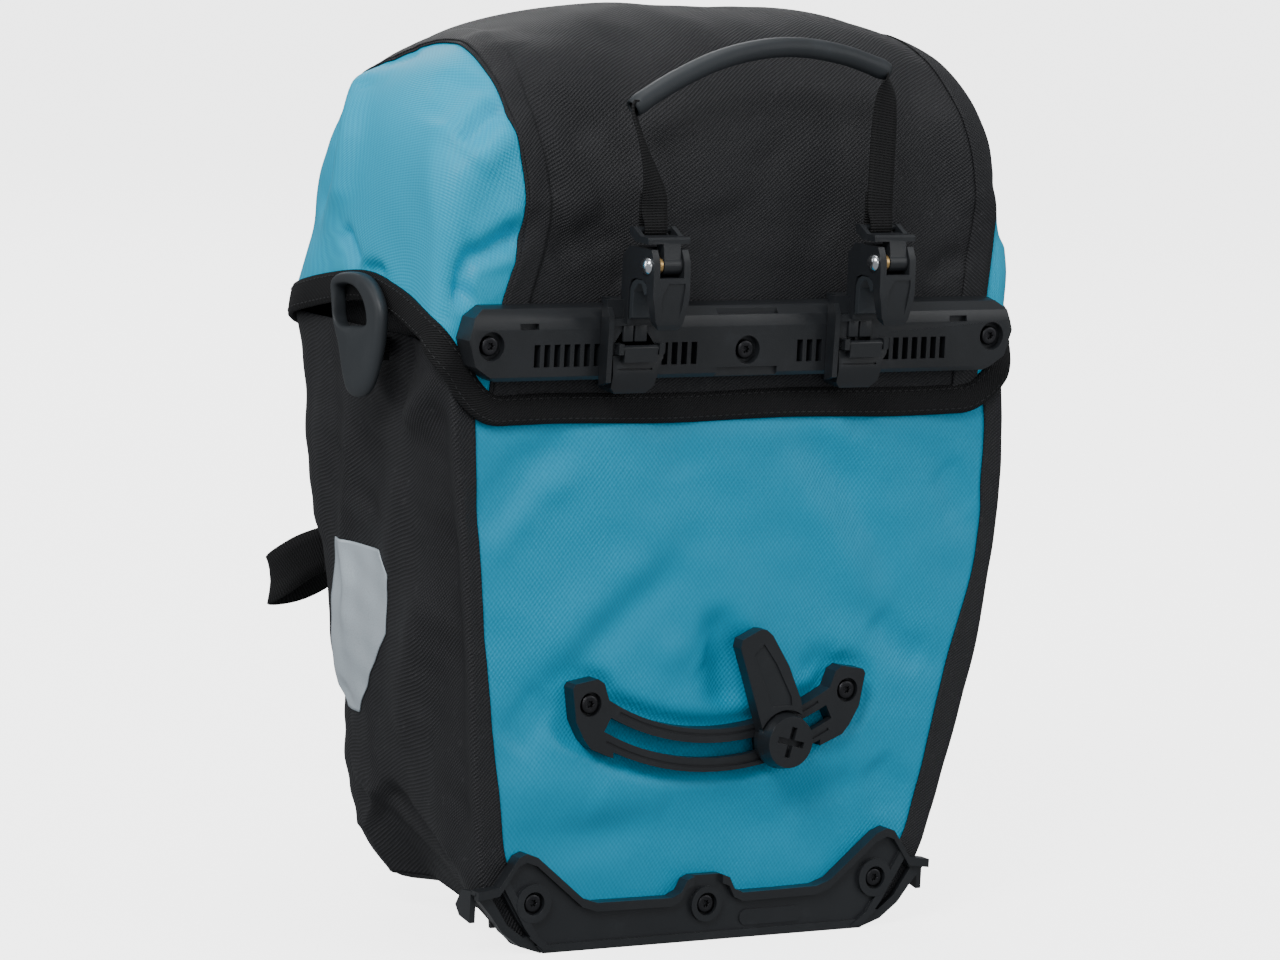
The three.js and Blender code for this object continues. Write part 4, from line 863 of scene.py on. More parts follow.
def back_relief(x, z):
    """How far inwards the cloth of the back lies, in millimetres."""
    x, z = np.broadcast_arrays(x, z)
    slack = bpy.context.scene.pannier_cloth.slack
    places = np.stack([x, z], axis=-1)
    deep = creases(places, BACK_MARKS) + 0.45 * ripple(x, z, 70, 11) + 0.16 * ripple(x, z, 24, 12)
    belly = -4.2 * np.exp(-((x / 110) ** 4)) * smooth(50, 84, z) * smooth(268, 240, z)
    deep = slack * (deep * 1.3 + belly)
    deep = np.where(deep > 0, BOARD_ROOM * np.tanh(deep / BOARD_ROOM), deep)
    pressed = under_rails(x, z)
    top = smooth(246, 262, z)
    deep = np.where(deep < 0, deep * (1 - pressed), deep)
    return deep * (1 - top) + top * np.maximum(deep, 0.1) * 0.4


def side_face(y, z, side):
    """How far out the gusset's outer face is at a place on it."""
    y, z = np.broadcast_arrays(y, z)
    slack = bpy.context.scene.pannier_cloth.slack
    base = half_width(z)
    edge = rear_corner(z, side)
    out = base + (edge - base) * np.exp(-((np.maximum(y, 0) / 42) ** 2))
    places = np.stack([y, z], axis=-1)
    # The right side has the same creases, a little moved.
    relief = creases(places if side == LEFT else places + np.array([6.0, -9.0]), SIDE_MARKS)
    seed = 21 if side == LEFT else 27
    relief = relief + 0.6 * ripple(y, z, 62, seed) + 0.22 * ripple(y, z, 22, seed + 1)
    behind_seam = -3.4 * np.exp(-(((y - 11) / 7.5) ** 2)) * smooth(300, 262, z) * smooth(30, 70, z)
    belly = 2.6 * np.sin(np.pi * np.clip(y / depth(z), 0, 1)) * np.sin(np.pi * np.clip(z / 300, 0, 1))
    out = out + slack * (relief * 2.0 * smooth(-2, 14, y) + behind_seam + belly)
    # Below this fold the side is tucked in towards the floor.
    fold = rounded_table(y, (-5, 24), (4, 31), (33, 49), (54, 61), (72, 73), (84, 70), (96, 50), (108, 30),
                         (122, 20), (170, 18))
    below = np.clip((fold - z) / fold, 0, 1)
    to_street = smooth(86, 116, y)
    inset = (20 - 16 * to_street) * below**1.15 * smooth(2, 40, y)
    inset = inset + 5.5 * smooth(0.0, 0.13, below) * smooth(14, 34, y) * (1 - to_street)
    return out - inset


def front_face(x, z):
    """How far towards the street the front's outer face is."""
    x, z = np.broadcast_arrays(x, z)
    slack = bpy.context.scene.pannier_cloth.slack
    places = np.stack([x, z], axis=-1)
    relief = creases(places, FRONT_MARKS) + 0.7 * ripple(x, z, 75, 31) + 0.2 * ripple(x, z, 26, 32)
    belly = 4.0 * np.cos(np.clip(x / 150, -1, 1) * math.pi / 2) * np.sin(np.pi * np.clip(z / 330, 0, 1))
    drop = np.clip((BOTTOM_ROUND - z) / BOTTOM_ROUND, 0, 1)
    return depth(z) + slack * (relief + belly) - 9 * (1 - np.sqrt(1 - drop**2 * 0.96))


def raise_floor(grid):
    """Lifts the lowest cloth towards the street side, where the empty bag draws up."""
    raised = np.array(grid, dtype=float)
    y, z = raised[..., 1], raised[..., 2]
    raised[..., 2] = z + FLOOR_LIFT * smooth(18, 92, y) * np.clip((64 - z) / 60, 0, 1)
    return raised


def body_heights(count):
    """Rows from just above the floor to the rim, close together where the cloth turns under."""
    return np.concatenate([np.linspace(3.2, 30, 14)[:-1], np.linspace(30, RIM_HEIGHT, count)])


def floor_rings(left, front, right):
    """Rings from the lower edges of the gussets and the front in to the floor's middle."""
    rim = evenly(np.vstack([left[6:], front[4:-4], right[::-1][:-6]]), FLOOR_POINTS, closed=True)
    rim[:, 1] = np.maximum(rim[:, 1], 0.6)
    rim[:, 2] = 3.4
    centre = np.array([0.0, 62.0, 0.0])
    rings = []
    for share in (1.0, 0.985, 0.96, 0.92, 0.84, 0.7, 0.52, 0.34, 0.18, 0.06):
        ring = centre + (rim - centre) * share
        off_board = smooth(26, 44, ring[:, 1])
        ring[:, 2] = 3.4 - 2.5 * smooth(1.0, 0.93, share) * off_board
        ring[:, 2] += 0.25 * ripple(ring[:, 0], ring[:, 1], 60, 41) * smooth(1.0, 0.8, share) * off_board
        rings.append(ring)
    return raise_floor(rings)


def gusset_grid(side):
    """Points of one gusset: a seam edge on the back, the rear corner, the side, the front corner."""
    rows = []
    turn = np.linspace(0, math.pi / 2, 7)[1:]
    bend = np.linspace(0, math.pi / 2, 12)[1:]
    for z in body_heights(100):
        edge = float(rear_corner(z, side))
        inner = abs(float(flange_edge(z, side)))
        flange_x = np.linspace(inner, edge - REAR_CORNER, 8)
        flange_y = back_relief(side * flange_x, z) - GUSSET_FLANGE
        flange_y = flange_y - 0.5 * smooth(inner + 2, edge - REAR_CORNER, flange_x)
        start_y = flange_y[-1] + REAR_CORNER
        y_side = np.concatenate([np.linspace(start_y, 24, 11)[1:],
                                 np.linspace(24, depth(z) - FRONT_CORNER, 44)[1:]])
        x_side = side_face(y_side, z, side)
        x_rear = float(side_face(np.array([start_y]), z, side)[0])
        corner = np.column_stack([flange_x[-1] + (x_rear - flange_x[-1]) * np.sin(turn),
                                  flange_y[-1] + REAR_CORNER * (1 - np.cos(turn))])
        over_x = x_side[-1] - FRONT_CORNER
        front_y = float(front_face(np.array([side * over_x]), z)[0]) + SEAM_LAP
        front = np.column_stack([over_x + FRONT_CORNER * np.cos(bend),
                                 y_side[-1] + (front_y - y_side[-1]) * np.sin(bend)])
        lap_x = np.linspace(over_x, over_x - 11, 5)[1:]
        lap = np.column_stack([lap_x, front_face(side * lap_x, z) + SEAM_LAP])
        plan = np.vstack([np.column_stack([flange_x, flange_y]), corner, np.column_stack([x_side, y_side]),
                          front, lap])
        rows.append(level_row(side * plan[:, 0], plan[:, 1], z))
    return np.array(rows)


class PANNIER_OT_body(bpy.types.Operator):
    """Build the body: coated back panel, twill gussets, front and floor"""

    bl_idname = "pannier.body"
    bl_label = "Body cloth"

    def execute(self, context):
        wall = context.scene.pannier_cloth.wall
        back = []
        for z in np.linspace(3.0, RIM_HEIGHT, 104):
            x = np.linspace(float(flange_edge(z, LEFT)) - 7, float(flange_edge(z, RIGHT)) + 6, 118)
            back.append(level_row(x, back_relief(x, z), z))
        piece = cloth("back_cloth", np.array(back), BODY_INSIDE, coated_cloth("coated_back", 1.0), wall)
        on(piece, "bag", "blue_fabric", "back_panel")
        bottom = []
        for name, side in SIDES.items():
            grid = raise_floor(gusset_grid(side))
            bottom.append(grid[0])
            piece = cloth("gusset_" + name, grid, BODY_INSIDE, twill_cloth(38 * -side), wall)
            on(piece, "bag", "black_fabric", "side_panel_" + name)
        front = []
        for z in body_heights(90):
            reach = float(half_width(z)) - 22
            x = np.linspace(-reach, reach, 96)
            front.append(level_row(x, front_face(x, z), z))
        piece = cloth("front_cloth", raise_floor(front), BODY_INSIDE, twill_cloth(-38), wall)
        on(piece, "bag", "black_fabric", "front_panel")

        grid = floor_rings(bottom[0], front[0], bottom[1])
        faces = grid_faces(len(grid), FLOOR_POINTS, wrap=True)
        faces.append(tuple(range((len(grid) - 1) * FLOOR_POINTS, len(grid) * FLOOR_POINTS)))
        floor = solid("floor_cloth", grid, faces, twill_cloth(38), grid[..., :2])
        give_wall(floor, wall)
        on(floor, "bag", "black_fabric", "bottom_panel")
        return {"FINISHED"}


# ---------------------------------------------------------------- shape of the lid
LID_CENTRE = np.array([0.0, 81.6, 335.0])
SEAM_ALLOWANCE = 13.0  # how wide the sewn edges of the centre panel lie double


def lid_outside(points):
    """Below 0 inside the lid's outer face and above 0 outside it, in millimetres near the face."""
    x, y, z = points[..., 0], points[..., 1], points[..., 2]
    t = np.clip((z - DOME_START) / DOME_RISE, 0, 1)
    wide = LID_HALF_WIDTH * np.maximum(1 - t**3, 0) ** 0.357
    deep = (LID_FRONT - LID_BACK) / 2 * np.maximum(1 - t**2.4, 0) ** 0.571
    middle = (LID_FRONT + LID_BACK) / 2 - 6 * t
    # The right side is pulled in over the hook and stands out at the shoulder.
    pull = rounded_table(z, (260, 0), (330, 0), (350, 3), (364, 8), (391, 6), (406, -1), (422, -12), (440, -15))
    wide = wide - np.where(x > 0, pull, 0)
    # The rack side has a tight corner, the street side a wide one.
    street = rounded_table(z, (260, 34), (298, 42), (327, 60), (365, 71), (385, 71), (410, 58), (440, 43))
    radius = np.where(y < middle, 10 + np.where(x > 0, 22, 32) * t, street)
    radius = np.minimum(radius, np.minimum(wide, deep))
    qx = np.abs(x) - (wide - radius)
    qy = np.abs(y - middle) - (deep - radius)
    out = np.hypot(np.maximum(qx, 0), np.maximum(qy, 0)) + np.minimum(np.maximum(qx, qy), 0) - radius
    return np.where(z > LID_TOP, np.maximum(out, z - LID_TOP), out)


def reach_lid(start, towards):
    """Where rays from inside meet the lid's outer face."""
    low = np.zeros(towards.shape[:-1])
    high = np.full(towards.shape[:-1], 420.0)
    for _ in range(34):
        mid = (low + high) / 2
        inside = lid_outside(start + towards * mid[..., None]) < 0
        low, high = np.where(inside, mid, low), np.where(inside, high, mid)
    return start + towards * low[..., None]


def round_over(share):
    """The angle about the lid's middle line for a place from the rear hem, 0, to the street hem, 1."""
    rear = math.atan2(BAND_LOW[2] + 1 - LID_CENTRE[2], LID_BACK - LID_CENTRE[1])
    street = math.atan2(LID_LOW[2] - LID_CENTRE[2], LID_FRONT - LID_CENTRE[1])
    return (rear + 2 * math.pi) + (street - (rear + 2 * math.pi)) * share


def across_lid(x, share):
    """A point of the lid above a given X, at a place round from the rear hem to the street hem."""
    x, share = np.broadcast_arrays(np.asarray(x, float), np.asarray(share, float))
    angle = round_over(share)
    start = np.stack([x, np.full(x.shape, LID_CENTRE[1]), np.full(x.shape, LID_CENTRE[2])], axis=-1)
    towards = np.stack([np.zeros(x.shape), np.cos(angle), np.sin(angle)], axis=-1)
    return reach_lid(start, towards)


def seam_x(share, side):
    if side == LEFT:
        return -rounded_table(share, (0, 131), (0.09, 127), (0.147, 120), (0.184, 117), (0.22, 117), (0.254, 118.5),
                              (0.292, 121.5), (0.329, 124), (0.363, 124.5), (0.415, 122.5), (0.485, 119),
                              (0.53, 122), (0.56, 131), (0.59, 138), (0.65, 141), (0.75, 140), (1, 122))
    return rounded_table(share, (0, 140), (0.10, 143), (0.2, 147), (0.27, 144), (0.34, 137), (0.42, 133),
                         (0.5, 135), (0.62, 140), (0.75, 140), (1, 122))


HEM = {
    LEFT: [(-134, -3, 264.5), (-141, -3, 270), (-150, -2, 283), (-158.5, 4, 296), (-161, 21, 304), (-161, 45, 310),
           (-161, 69, 312), (-161, 102, 307), (-161, 135, 299), (-151, 157, 292), (-134, 165, 287),
           (-122, 166, 285)],
    RIGHT: [(142, -3, 264.5), (149, -3, 270), (156, -2, 283), (160, 4, 296), (161, 21, 304), (161, 45, 310),
            (161, 69, 312), (161, 102, 307), (161, 135, 299), (151, 157, 292), (134, 165, 287), (122, 166, 285)],
}

# Places on the lid; heights are outwards.
LOBE_MARKS = [
    ([(-124, 9, 400), (-135, 7, 393), (-143, 5, 385), (-149, 5, 379)], 7, -4.6),
    ([(-121, 3, 389), (-137, 0, 380), (-148, 0, 371)], 9, 2.6),
    ([(-130, 31, 412), (-146, 25, 399), (-154, 26, 387)], 13, -2.2),
    ([(-129, 16, 405), (-144, 11, 392), (-154, 10, 379)], 11, 1.5),
    ([(-140, 94, 408), (-145, 107, 399), (-153, 99, 388), (-158, 93, 375), (-160, 95, 352), (-160, 109, 339)],
     8, 3.8),
    ([(-153, 109, 386), (-158, 112, 367), (-159, 120, 350), (-157, 130, 333)], 10, -3.6),
    ([(-161, 93, 334), (-161, 84, 325), (-161, 76, 316)], 5, -3.2),
    ([(-161, 73, 315), (-161, 61, 317), (-161, 49, 316)], 4, -2.4),
    ([(-116, -3, 346), (-130, -3, 336), (-145, -3, 328), (-148, -3, 322), (-150, -3, 312), (-154, -2, 303)],
     6.5, -5.0),
    ([(-119, -3, 353), (-134, -3, 342), (-147, -3, 333)], 10, 2.4),
    ([(-120, -3, 330), (-139, -3, 322), (-144, -3, 311)], 9, 3.0),
    ([(-139, 99, 409), (-133, 88, 414), (-127, 84, 419)], 7, -1.6),
    ([(150, 6, 368), (156, 2, 348), (157, 0, 330)], 8, -3.0),
    ([(148, 30, 396), (156, 40, 372), (160, 52, 345)], 12, -2.6),
]
CENTRE_MARKS = [
    ([(-109, 41, 423), (-108, 12, 406), (-92, 6, 395), (-76, -1, 378)], 12, -3.0),
    ([(-108, 65, 427), (-110, 32, 420), (-100, 19, 415)], 12, 1.8),
    ([(-109, 7, 397), (-105, -1, 378), (-104, -3, 354)], 8, -1.6),
    ([(-74, -3, 342), (-88, -3, 336), (-102, -3, 326)], 12, -2.6),
    ([(-77, -3, 352), (-89, -3, 350), (-99, -3, 344)], 12, 2.0),
    ([(-43, 52, 435), (-53, 24, 419), (-66, 4, 392), (-56, -3, 356)], 16, -2.2),
    ([(-19, 7, 397), (-20, -1, 374), (-13, -3, 346)], 18, 2.0),
    ([(12, 2, 388), (33, -3, 355), (58, -3, 336)], 16, -2.4),
    ([(109, 26, 419), (106, 7, 397), (114, -1, 374), (127, -3, 340)], 12, -3.0),
    ([(116, 9, 402), (123, 0, 379), (135, -3, 345)], 10, 2.2),
    ([(108, -3, 316), (122, -3, 325), (135, -3, 328)], 7, -2.4),
    ([(-77, -3, 342), (-69, -3, 327), (-60, -3, 314)], 10, -2.0),
    ([(-104, -3, 319), (-81, -3, 327), (-67, -3, 337)], 12, 1.8),
    ([(-20, -3, 318), (13, -3, 321), (53, -3, 315)], 14, 1.5),
    ([(-21, 43, 431), (31, 36, 428), (89, 36, 427)], 22, 1.6),
    ([(-80, 120, 430), (-50, 150, 400), (-30, 163, 360)], 14, -2.4),
    ([(90, 118, 428), (64, 150, 398), (40, 163, 350)], 14, -2.4),
    ([(-6, 130, 424), (4, 156, 392), (2, 165, 350)], 16, 2.0),
]


def lid_relief(points):
    """How far the lid's cloth stands out from its plain shape."""
    slack = bpy.context.scene.pannier_cloth.slack
    x, y, z = points[..., 0], points[..., 1], points[..., 2]
    total = creases(points, LOBE_MARKS + CENTRE_MARKS) * 1.35
    total = total + 0.9 * ripple(x * 0.9 + y * 0.5, z + y * 0.5, 85, 51)
    total = total + 0.3 * ripple(x + y * 0.6, z - y * 0.4, 30, 52)
    # Nothing stands out where the rail and the hooks lie against the cloth.
    clear = np.clip(smooth(318, 336, z) + smooth(30, 60, y), 0.05, 1)
    return slack * np.where(total > 0, total * clear, total)


def outwards(points):
    """The directions straight out of the lid's plain shape."""
    step = 0.4
    slope = np.stack([
        lid_outside(points + np.array(axis) * step) - lid_outside(points - np.array(axis) * step)
        for axis in ((1, 0, 0), (0, 1, 0), (0, 0, 1))], axis=-1)
    return unit(slope)


def lid_skin(points):
    """The lid's cloth at points of its plain shape."""
    return points + outwards(points) * lid_relief(points)[..., None]


def on_lid(piece, slot, *nodes):
    """Cloth that crosses the lid's hinge: its place is baked into its mesh and the nodes it stands for are hidden.
    """
    slope = unit(np.array([0.0, 0.762, 0.648]))
    pivot = np.array([0.0, HINGE_Y, HINGE_Z])
    start, end = pivot - slope * 15, pivot + slope * 15
    tuple(start * MM)
    tuple(end * MM)
    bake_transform(piece)
    if nodes:
        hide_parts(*nodes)


def lobe_grid(side, rows, columns):
    """Points of a side lobe from its seam with the centre panel out to its hem."""
    share = np.linspace(0.004, 1, rows)
    seam = across_lid(seam_x(share, side), share)
    hem = spline(HEM[side], 400)
    # The hem is walked so that each row runs out from the seam without crossing the next.
    at = rounded_table(share, (0, 0), (0.1, 0.075), (0.2, 0.16), (0.3, 0.27), (0.4, 0.38), (0.5, 0.5), (0.6, 0.62),
                       (0.7, 0.74), (0.8, 0.84), (0.9, 0.93), (1, 1))
    out = np.stack([np.interp(at * 399, np.arange(400), hem[:, k]) for k in range(3)], axis=-1)
    core = np.array([side * 78.0, 80.0, 322.0])
    across = np.linspace(0, 1, columns)[None, :, None]
    flat = seam[:, None] * (1 - across) + out[:, None] * across
    return reach_lid(np.broadcast_to(core, flat.shape), unit(flat - core))


class PANNIER_OT_lid(bpy.types.Operator):
    """Build the hooded lid: twill centre panel and two coated side lobes"""

    bl_idname = "pannier.lid"
    bl_label = "Lid cloth"

    def execute(self, context):
        wall = context.scene.pannier_cloth.wall
        share = np.linspace(0, 1, 190)
        left, right = seam_x(share, LEFT) - 1.5, seam_x(share, RIGHT) + 1.5
        across = np.linspace(0, 1, 104)
        x = left[:, None] * (1 - across) + right[:, None] * across
        skin = lid_skin(across_lid(x, share[:, None]))
        # The cloth is folded under along both seams.
        inner = np.minimum(x - left[:, None], right[:, None] - x)
        normal = grid_normals(skin, LID_CENTRE)
        skin = skin + normal * (0.55 + 0.5 * smooth(3.5, 0, inner))[..., None]
        piece = cloth("lid_centre_cloth", skin, LID_CENTRE, twill_cloth(-34), wall)
        on_lid(piece, "black_fabric", "lid_centre_panel", "lid_anchor_band")
        for name, side in SIDES.items():
            inward = np.linspace(0.3, SEAM_ALLOWANCE, 9)
            x = seam_x(share, side)[:, None] - side * inward
            strip = across_lid(x, share[:, None])
            strip = lid_skin(strip) + grid_normals(strip, LID_CENTRE) * 1.3
            piece = cloth("lid_seam_" + name, strip, LID_CENTRE, twill_cloth(-34), 0.0006)
            on_lid(piece, "black_fabric")
        for name, side in SIDES.items():
            grid = lid_skin(lobe_grid(side, 150, 66))
            # The lobes take a copy of the back's coated cloth painted 1.3 times lighter: painted light and sheen on
            # the upward lobes.
            piece = cloth("lid_lobe_" + name, grid, np.array([side * 70.0, 80.0, 322.0]),
                          coated_cloth("coated_lobes", 1.3), wall)
            on_lid(piece, "blue_fabric", "lid_side_" + name)
        return {"FINISHED"}


# ---------------------------------------------------------------- hem tape and its stitches
STITCH_RADIUS = 0.00032


def hem_line():
    """The closed line of the lid's hem, a little below its cloth's edge."""
    left, right = np.array(HEM[LEFT], float), np.array(HEM[RIGHT], float)
    rear = [(x, -3.0, 261.6 + 0.6 * math.sin(x / 21)) for x in np.linspace(-118, 128, 14)]
    street = [(x, 166.0, 284.0) for x in np.linspace(100, -100, 12)]
    loop = np.vstack([left[::-1][:-1], [(-131, -3, 262.4)], rear, [(138, -3, 262.4)], right[1:], street])
    line = spline(np.vstack([loop, loop[:1]]), 641)[:-1]
    inner = np.stack([line[:, 0] * 0.6, np.full(len(line), 80.0), line[:, 2]], axis=-1)
    line = reach_lid(inner, unit(line - inner))
    for _ in range(3):
        line = (line + (np.roll(line, 1, axis=0) + np.roll(line, -1, axis=0)) / 2) / 2
    return line


def stitch_row(name, line, finish):
    """A row of stitches along a line."""
    sizes = bpy.context.scene.pannier_straps
    path = new_object(name, line, [], edges=[(i, i + 1) for i in range(len(line) - 1)])
    tree = Repeat("stitches", Pitch=sizes.stitch_pitch, Length=sizes.stitch_length, Radius=STITCH_RADIUS)
    curve = tree.add("GeometryNodeMeshToCurve", None, {0: tree.given("Geometry")})
    steps = tree.add("GeometryNodeResampleCurve", {"mode": "LENGTH"},
                     {"Curve": curve, "Length": tree.given("Pitch")})
    thread = tree.add("GeometryNodeMeshUVSphere", None, {"Segments": 6, "Rings": 5, "Radius": 1.0})
    turn = tree.add("FunctionNodeAlignRotationToVector", {"axis": "X"},
                    {"Vector": tree.add("GeometryNodeInputTangent")})
    radius = tree.given("Radius")
    size = tree.add("ShaderNodeCombineXYZ", None, {"X": tree.given("Length") * 0.5, "Y": radius, "Z": radius})
    tree.build(path, Points=steps, Instance=thread, Rotation=turn, Scale=size, finish=finish)
    path.data.shade_smooth()
    return path


class PANNIER_OT_hem(bpy.types.Operator):
    """Bind the lid's hem with a folded tape and sew it down"""

    bl_idname = "pannier.hem"
    bl_label = "Hem tape and stitches"

    def execute(self, context):
        width = context.scene.pannier_straps.tape_width / MM
        line = hem_line()
        normal = outwards(line)
        along = tangents(line, closed=True)
        down = unit(np.cross(normal, along))
        down = down * np.where(down[:, 2:3] > 0, -1, 1)
        wave = 0.35 * ripple(np.linspace(0, 1500, len(line)), np.zeros(len(line)), 60, 61)
        middle = line + down * 3.5 + normal * (0.4 + wave[:, None] * 0.6)
        # Outer leg, fold and inner leg of the tape.
        shape = [(-width / 2, -0.9), (-width / 2 + 0.25, 0.55), (-width / 4, 1.15), (0, 1.3), (width / 4, 1.2),
                 (width / 2 - 0.8, 0.8), (width / 2, -0.3), (width / 2 - 0.7, -1.5), (width / 4, -1.9),
                 (0, -1.9), (-width / 4, -1.7), (-width / 2 + 0.4, -1.3)]
        rings = [middle + down * a + normal * b for a, b in shape]
        grid = np.stack(rings, axis=1)
        grid = np.concatenate([grid, grid[:1]])
        uv = strip_map(np.array([a for a, _ in shape]), run_along(grid[:, 3]), grid.shape[:2])
        piece = solid("hem_tape", grid, grid_faces(len(grid), len(shape), wrap=True), hem_cloth(), uv)
        on_lid(piece, "webbing")
        for name, place in (("hem_stitches_upper", -width / 2 + 2.0), ("hem_stitches_lower", width / 2 - 2.6)):
            seat = np.interp(place, [-width / 2, -width / 4, 0, width / 4, width / 2], [0.7, 1.15, 1.3, 1.2, 0.6])
            row = middle + down * place + normal * (seat + 0.08)
            stitches = stitch_row(name, np.vstack([row, row[:1]]), sewing_thread())
            on_lid(stitches, "webbing")
        return {"FINISHED"}


# ---------------------------------------------------------------- moulded and metal parts
def lay_flat(obj, across, up):
    """A cloth map for a flat piece, in metres along two axes."""
    layer = obj.data.uv_layers.new(name="cloth")
    for loop in obj.data.loops:
        place = obj.data.vertices[loop.vertex_index].co
        layer.data[loop.index].uv = (place[across], place[up])


def moulded(nodes, body, width, segments=2, slot="hard_plastic", finish=None):
    """Rounded copies of rigid nodes on their body, in hard plastic unless told otherwise."""
    for node in nodes:
        piece = rounded_copy(node, node + "_moulded", finish or hard_plastic(), width, segments)
        on(piece, body, slot, node)


def block_with_soft_edges(name, low, high, finish):
    """A small moulded bar, rounded on every edge."""
    corners = [(x, y, z) for x in (low[0], high[0]) for y in (low[1], high[1]) for z in (low[2], high[2])]
    faces = [(0, 1, 3, 2), (4, 6, 7, 5), (0, 4, 5, 1), (2, 3, 7, 6), (0, 2, 6, 4), (1, 5, 7, 3)]
    bar = solid(name, corners, faces, finish)
    soften = bar.modifiers.new("edges", "BEVEL")
    soften.width, soften.segments = 0.0007, 3
    apply_all(bar)
    bar.data.shade_smooth()
    bar.data.set_sharp_from_angle(angle=math.radians(40))
    return bar


class PANNIER_OT_rail(bpy.types.Operator):
    """Build the hook rail"""

    bl_idname = "pannier.rail"
    bl_label = "Hook rail"

    def execute(self, context):
        moulded(["hook_rail"], "bag", 0.55)
        return {"FINISHED"}


class PANNIER_OT_hooks(bpy.types.Operator):
    """Build both clamp hooks: bodies, tube inserts, rivets, springs, levers and latches"""

    bl_idname = "pannier.hooks"
    bl_label = "Clamp hooks"

    def execute(self, context):
        for name in SIDES:
            hook = "hook_" + name
            moulded(["hook_body_" + name], hook, 0.6)
            middle = low_high("hook_body_" + name)[0][0] + 19
            for bar, (x0, x1) in {"outer": (-10.2, -4.6), "inner": (-3.9, 2.9)}.items():
                strut = block_with_soft_edges(f"clamp_bar_{bar}_{name}", (middle + x0, RAIL_LOW[1] - 6.3, 291.6),
                                              (middle + x1, RAIL_LOW[1] - 0.6, 300.6), hard_plastic())
                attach(strut, hook)
            moulded(["hook_insert_" + name], hook, 0.4, slot="soft_plastic", finish=soft_plastic())
            low, high = low_high("hook_pin_" + name)
            head = (high[2] - low[2]) / 2
            reach = high[0] - low[0]
            profile = [(0, 0.1), (0.05, 0.8), (0.25, 1.7), (0.6, 2.6), (1.1, 3.3), (1.8, 3.85), (2.4, head),
                       (2.75, head), (2.75, 2.0), (reach, 1.95), (reach, 0.1)]
            rivet = lathe("hook_rivet_" + name, profile, (low[0], (low[1] + high[1]) / 2, (low[2] + high[2]) / 2),
                          (1, 0, 0), steel(), 40)
            on(rivet, hook, "steel", "hook_pin_" + name)
            moulded(["lever_spring_" + name], hook, 0.2, slot="brass", finish=brass())
            moulded(["lever_" + name], "lever_" + name, 0.55)
            moulded(["latch_" + name], "latch_" + name, 0.5)
        return {"FINISHED"}


class PANNIER_OT_lower_rail(bpy.types.Operator):
    """Build the curved lower rail with its carriage, fin and knob"""

    bl_idname = "pannier.lower_rail"
    bl_label = "Lower rail and fin"

    def execute(self, context):
        moulded(["arc_rail"], "bag", 0.7, 3)
        moulded(["fin_carriage"], "fin_carriage", 0.4)
        moulded(["fin_blade"], "fin", 0.9, 3)
        moulded(["fin_knob"], "knob", 0.7, 3)
        return {"FINISHED"}


class PANNIER_OT_protector(bpy.types.Operator):
    """Build the bottom protector"""

    bl_idname = "pannier.protector"
    bl_label = "Bottom protector"

    def execute(self, context):
        moulded(["bottom_guard"], "bag", 0.7, 3)
        return {"FINISHED"}


class PANNIER_OT_screws(bpy.types.Operator):
    """Set the eight screws, each a dished head with a star socket on a plain shank"""

    bl_idname = "pannier.screws"
    bl_label = "Screws"

    def execute(self, context):
        nodes = [f"{where}_screw_{name}" for where, names in
                 (("rail", ("left", "centre", "right")), ("arc", ("left", "right")),
                  ("guard", ("left", "centre", "right"))) for name in names]
        boxes = [low_high(node) for node in nodes]
        seats = [((low[0] + high[0]) / 2, low[1], (low[2] + high[2]) / 2) for low, high in boxes]
        head = (boxes[0][1][0] - boxes[0][0][0]) / 2
        reach = boxes[0][1][1] - boxes[0][0][1]
        sides = 36
        turn = np.arange(sides) / sides * 2 * math.pi
        star = np.cos(6 * turn)
        # (depth, radius, how far the star's points stand out)
        profile = [(1.7, 0.1, 0), (1.55, 1.3, 0.25), (0.35, 1.5, 0.36), (0.12, 1.75, 0.3), (0.1, 2.4, 0),
                   (0.0, 3.3, 0), (0.15, 3.9, 0), (0.6, head - 0.15, 0), (1.1, head, 0), (2.4, head, 0),
                   (2.4, 2.0, 0), (reach, 1.8, 0), (reach, 0.1, 0)]
        rings = [np.column_stack([(r + s * star) * np.cos(turn), np.full(sides, d), (r + s * star) * np.sin(turn)])
                 for d, r, s in profile]
        shape = new_object("screw_shape", np.array(rings), capped_faces(len(profile), sides))
        face_outwards(shape)
        shape.data.set_sharp_from_angle(angle=math.radians(35))
        places = new_object("screws", seats, [])
        tree = Repeat("screws", Scale=1.0)
        source = tree.add("GeometryNodeObjectInfo", None, {"Object": shape}, "Geometry")
        tree.build(places, Points=tree.given("Geometry"), Instance=source, Scale=tree.given("Scale"),
                   finish=dark_steel())
        bpy.data.objects.remove(shape)
        on(places, "bag", "dark_steel", *nodes)
        return {"FINISHED"}


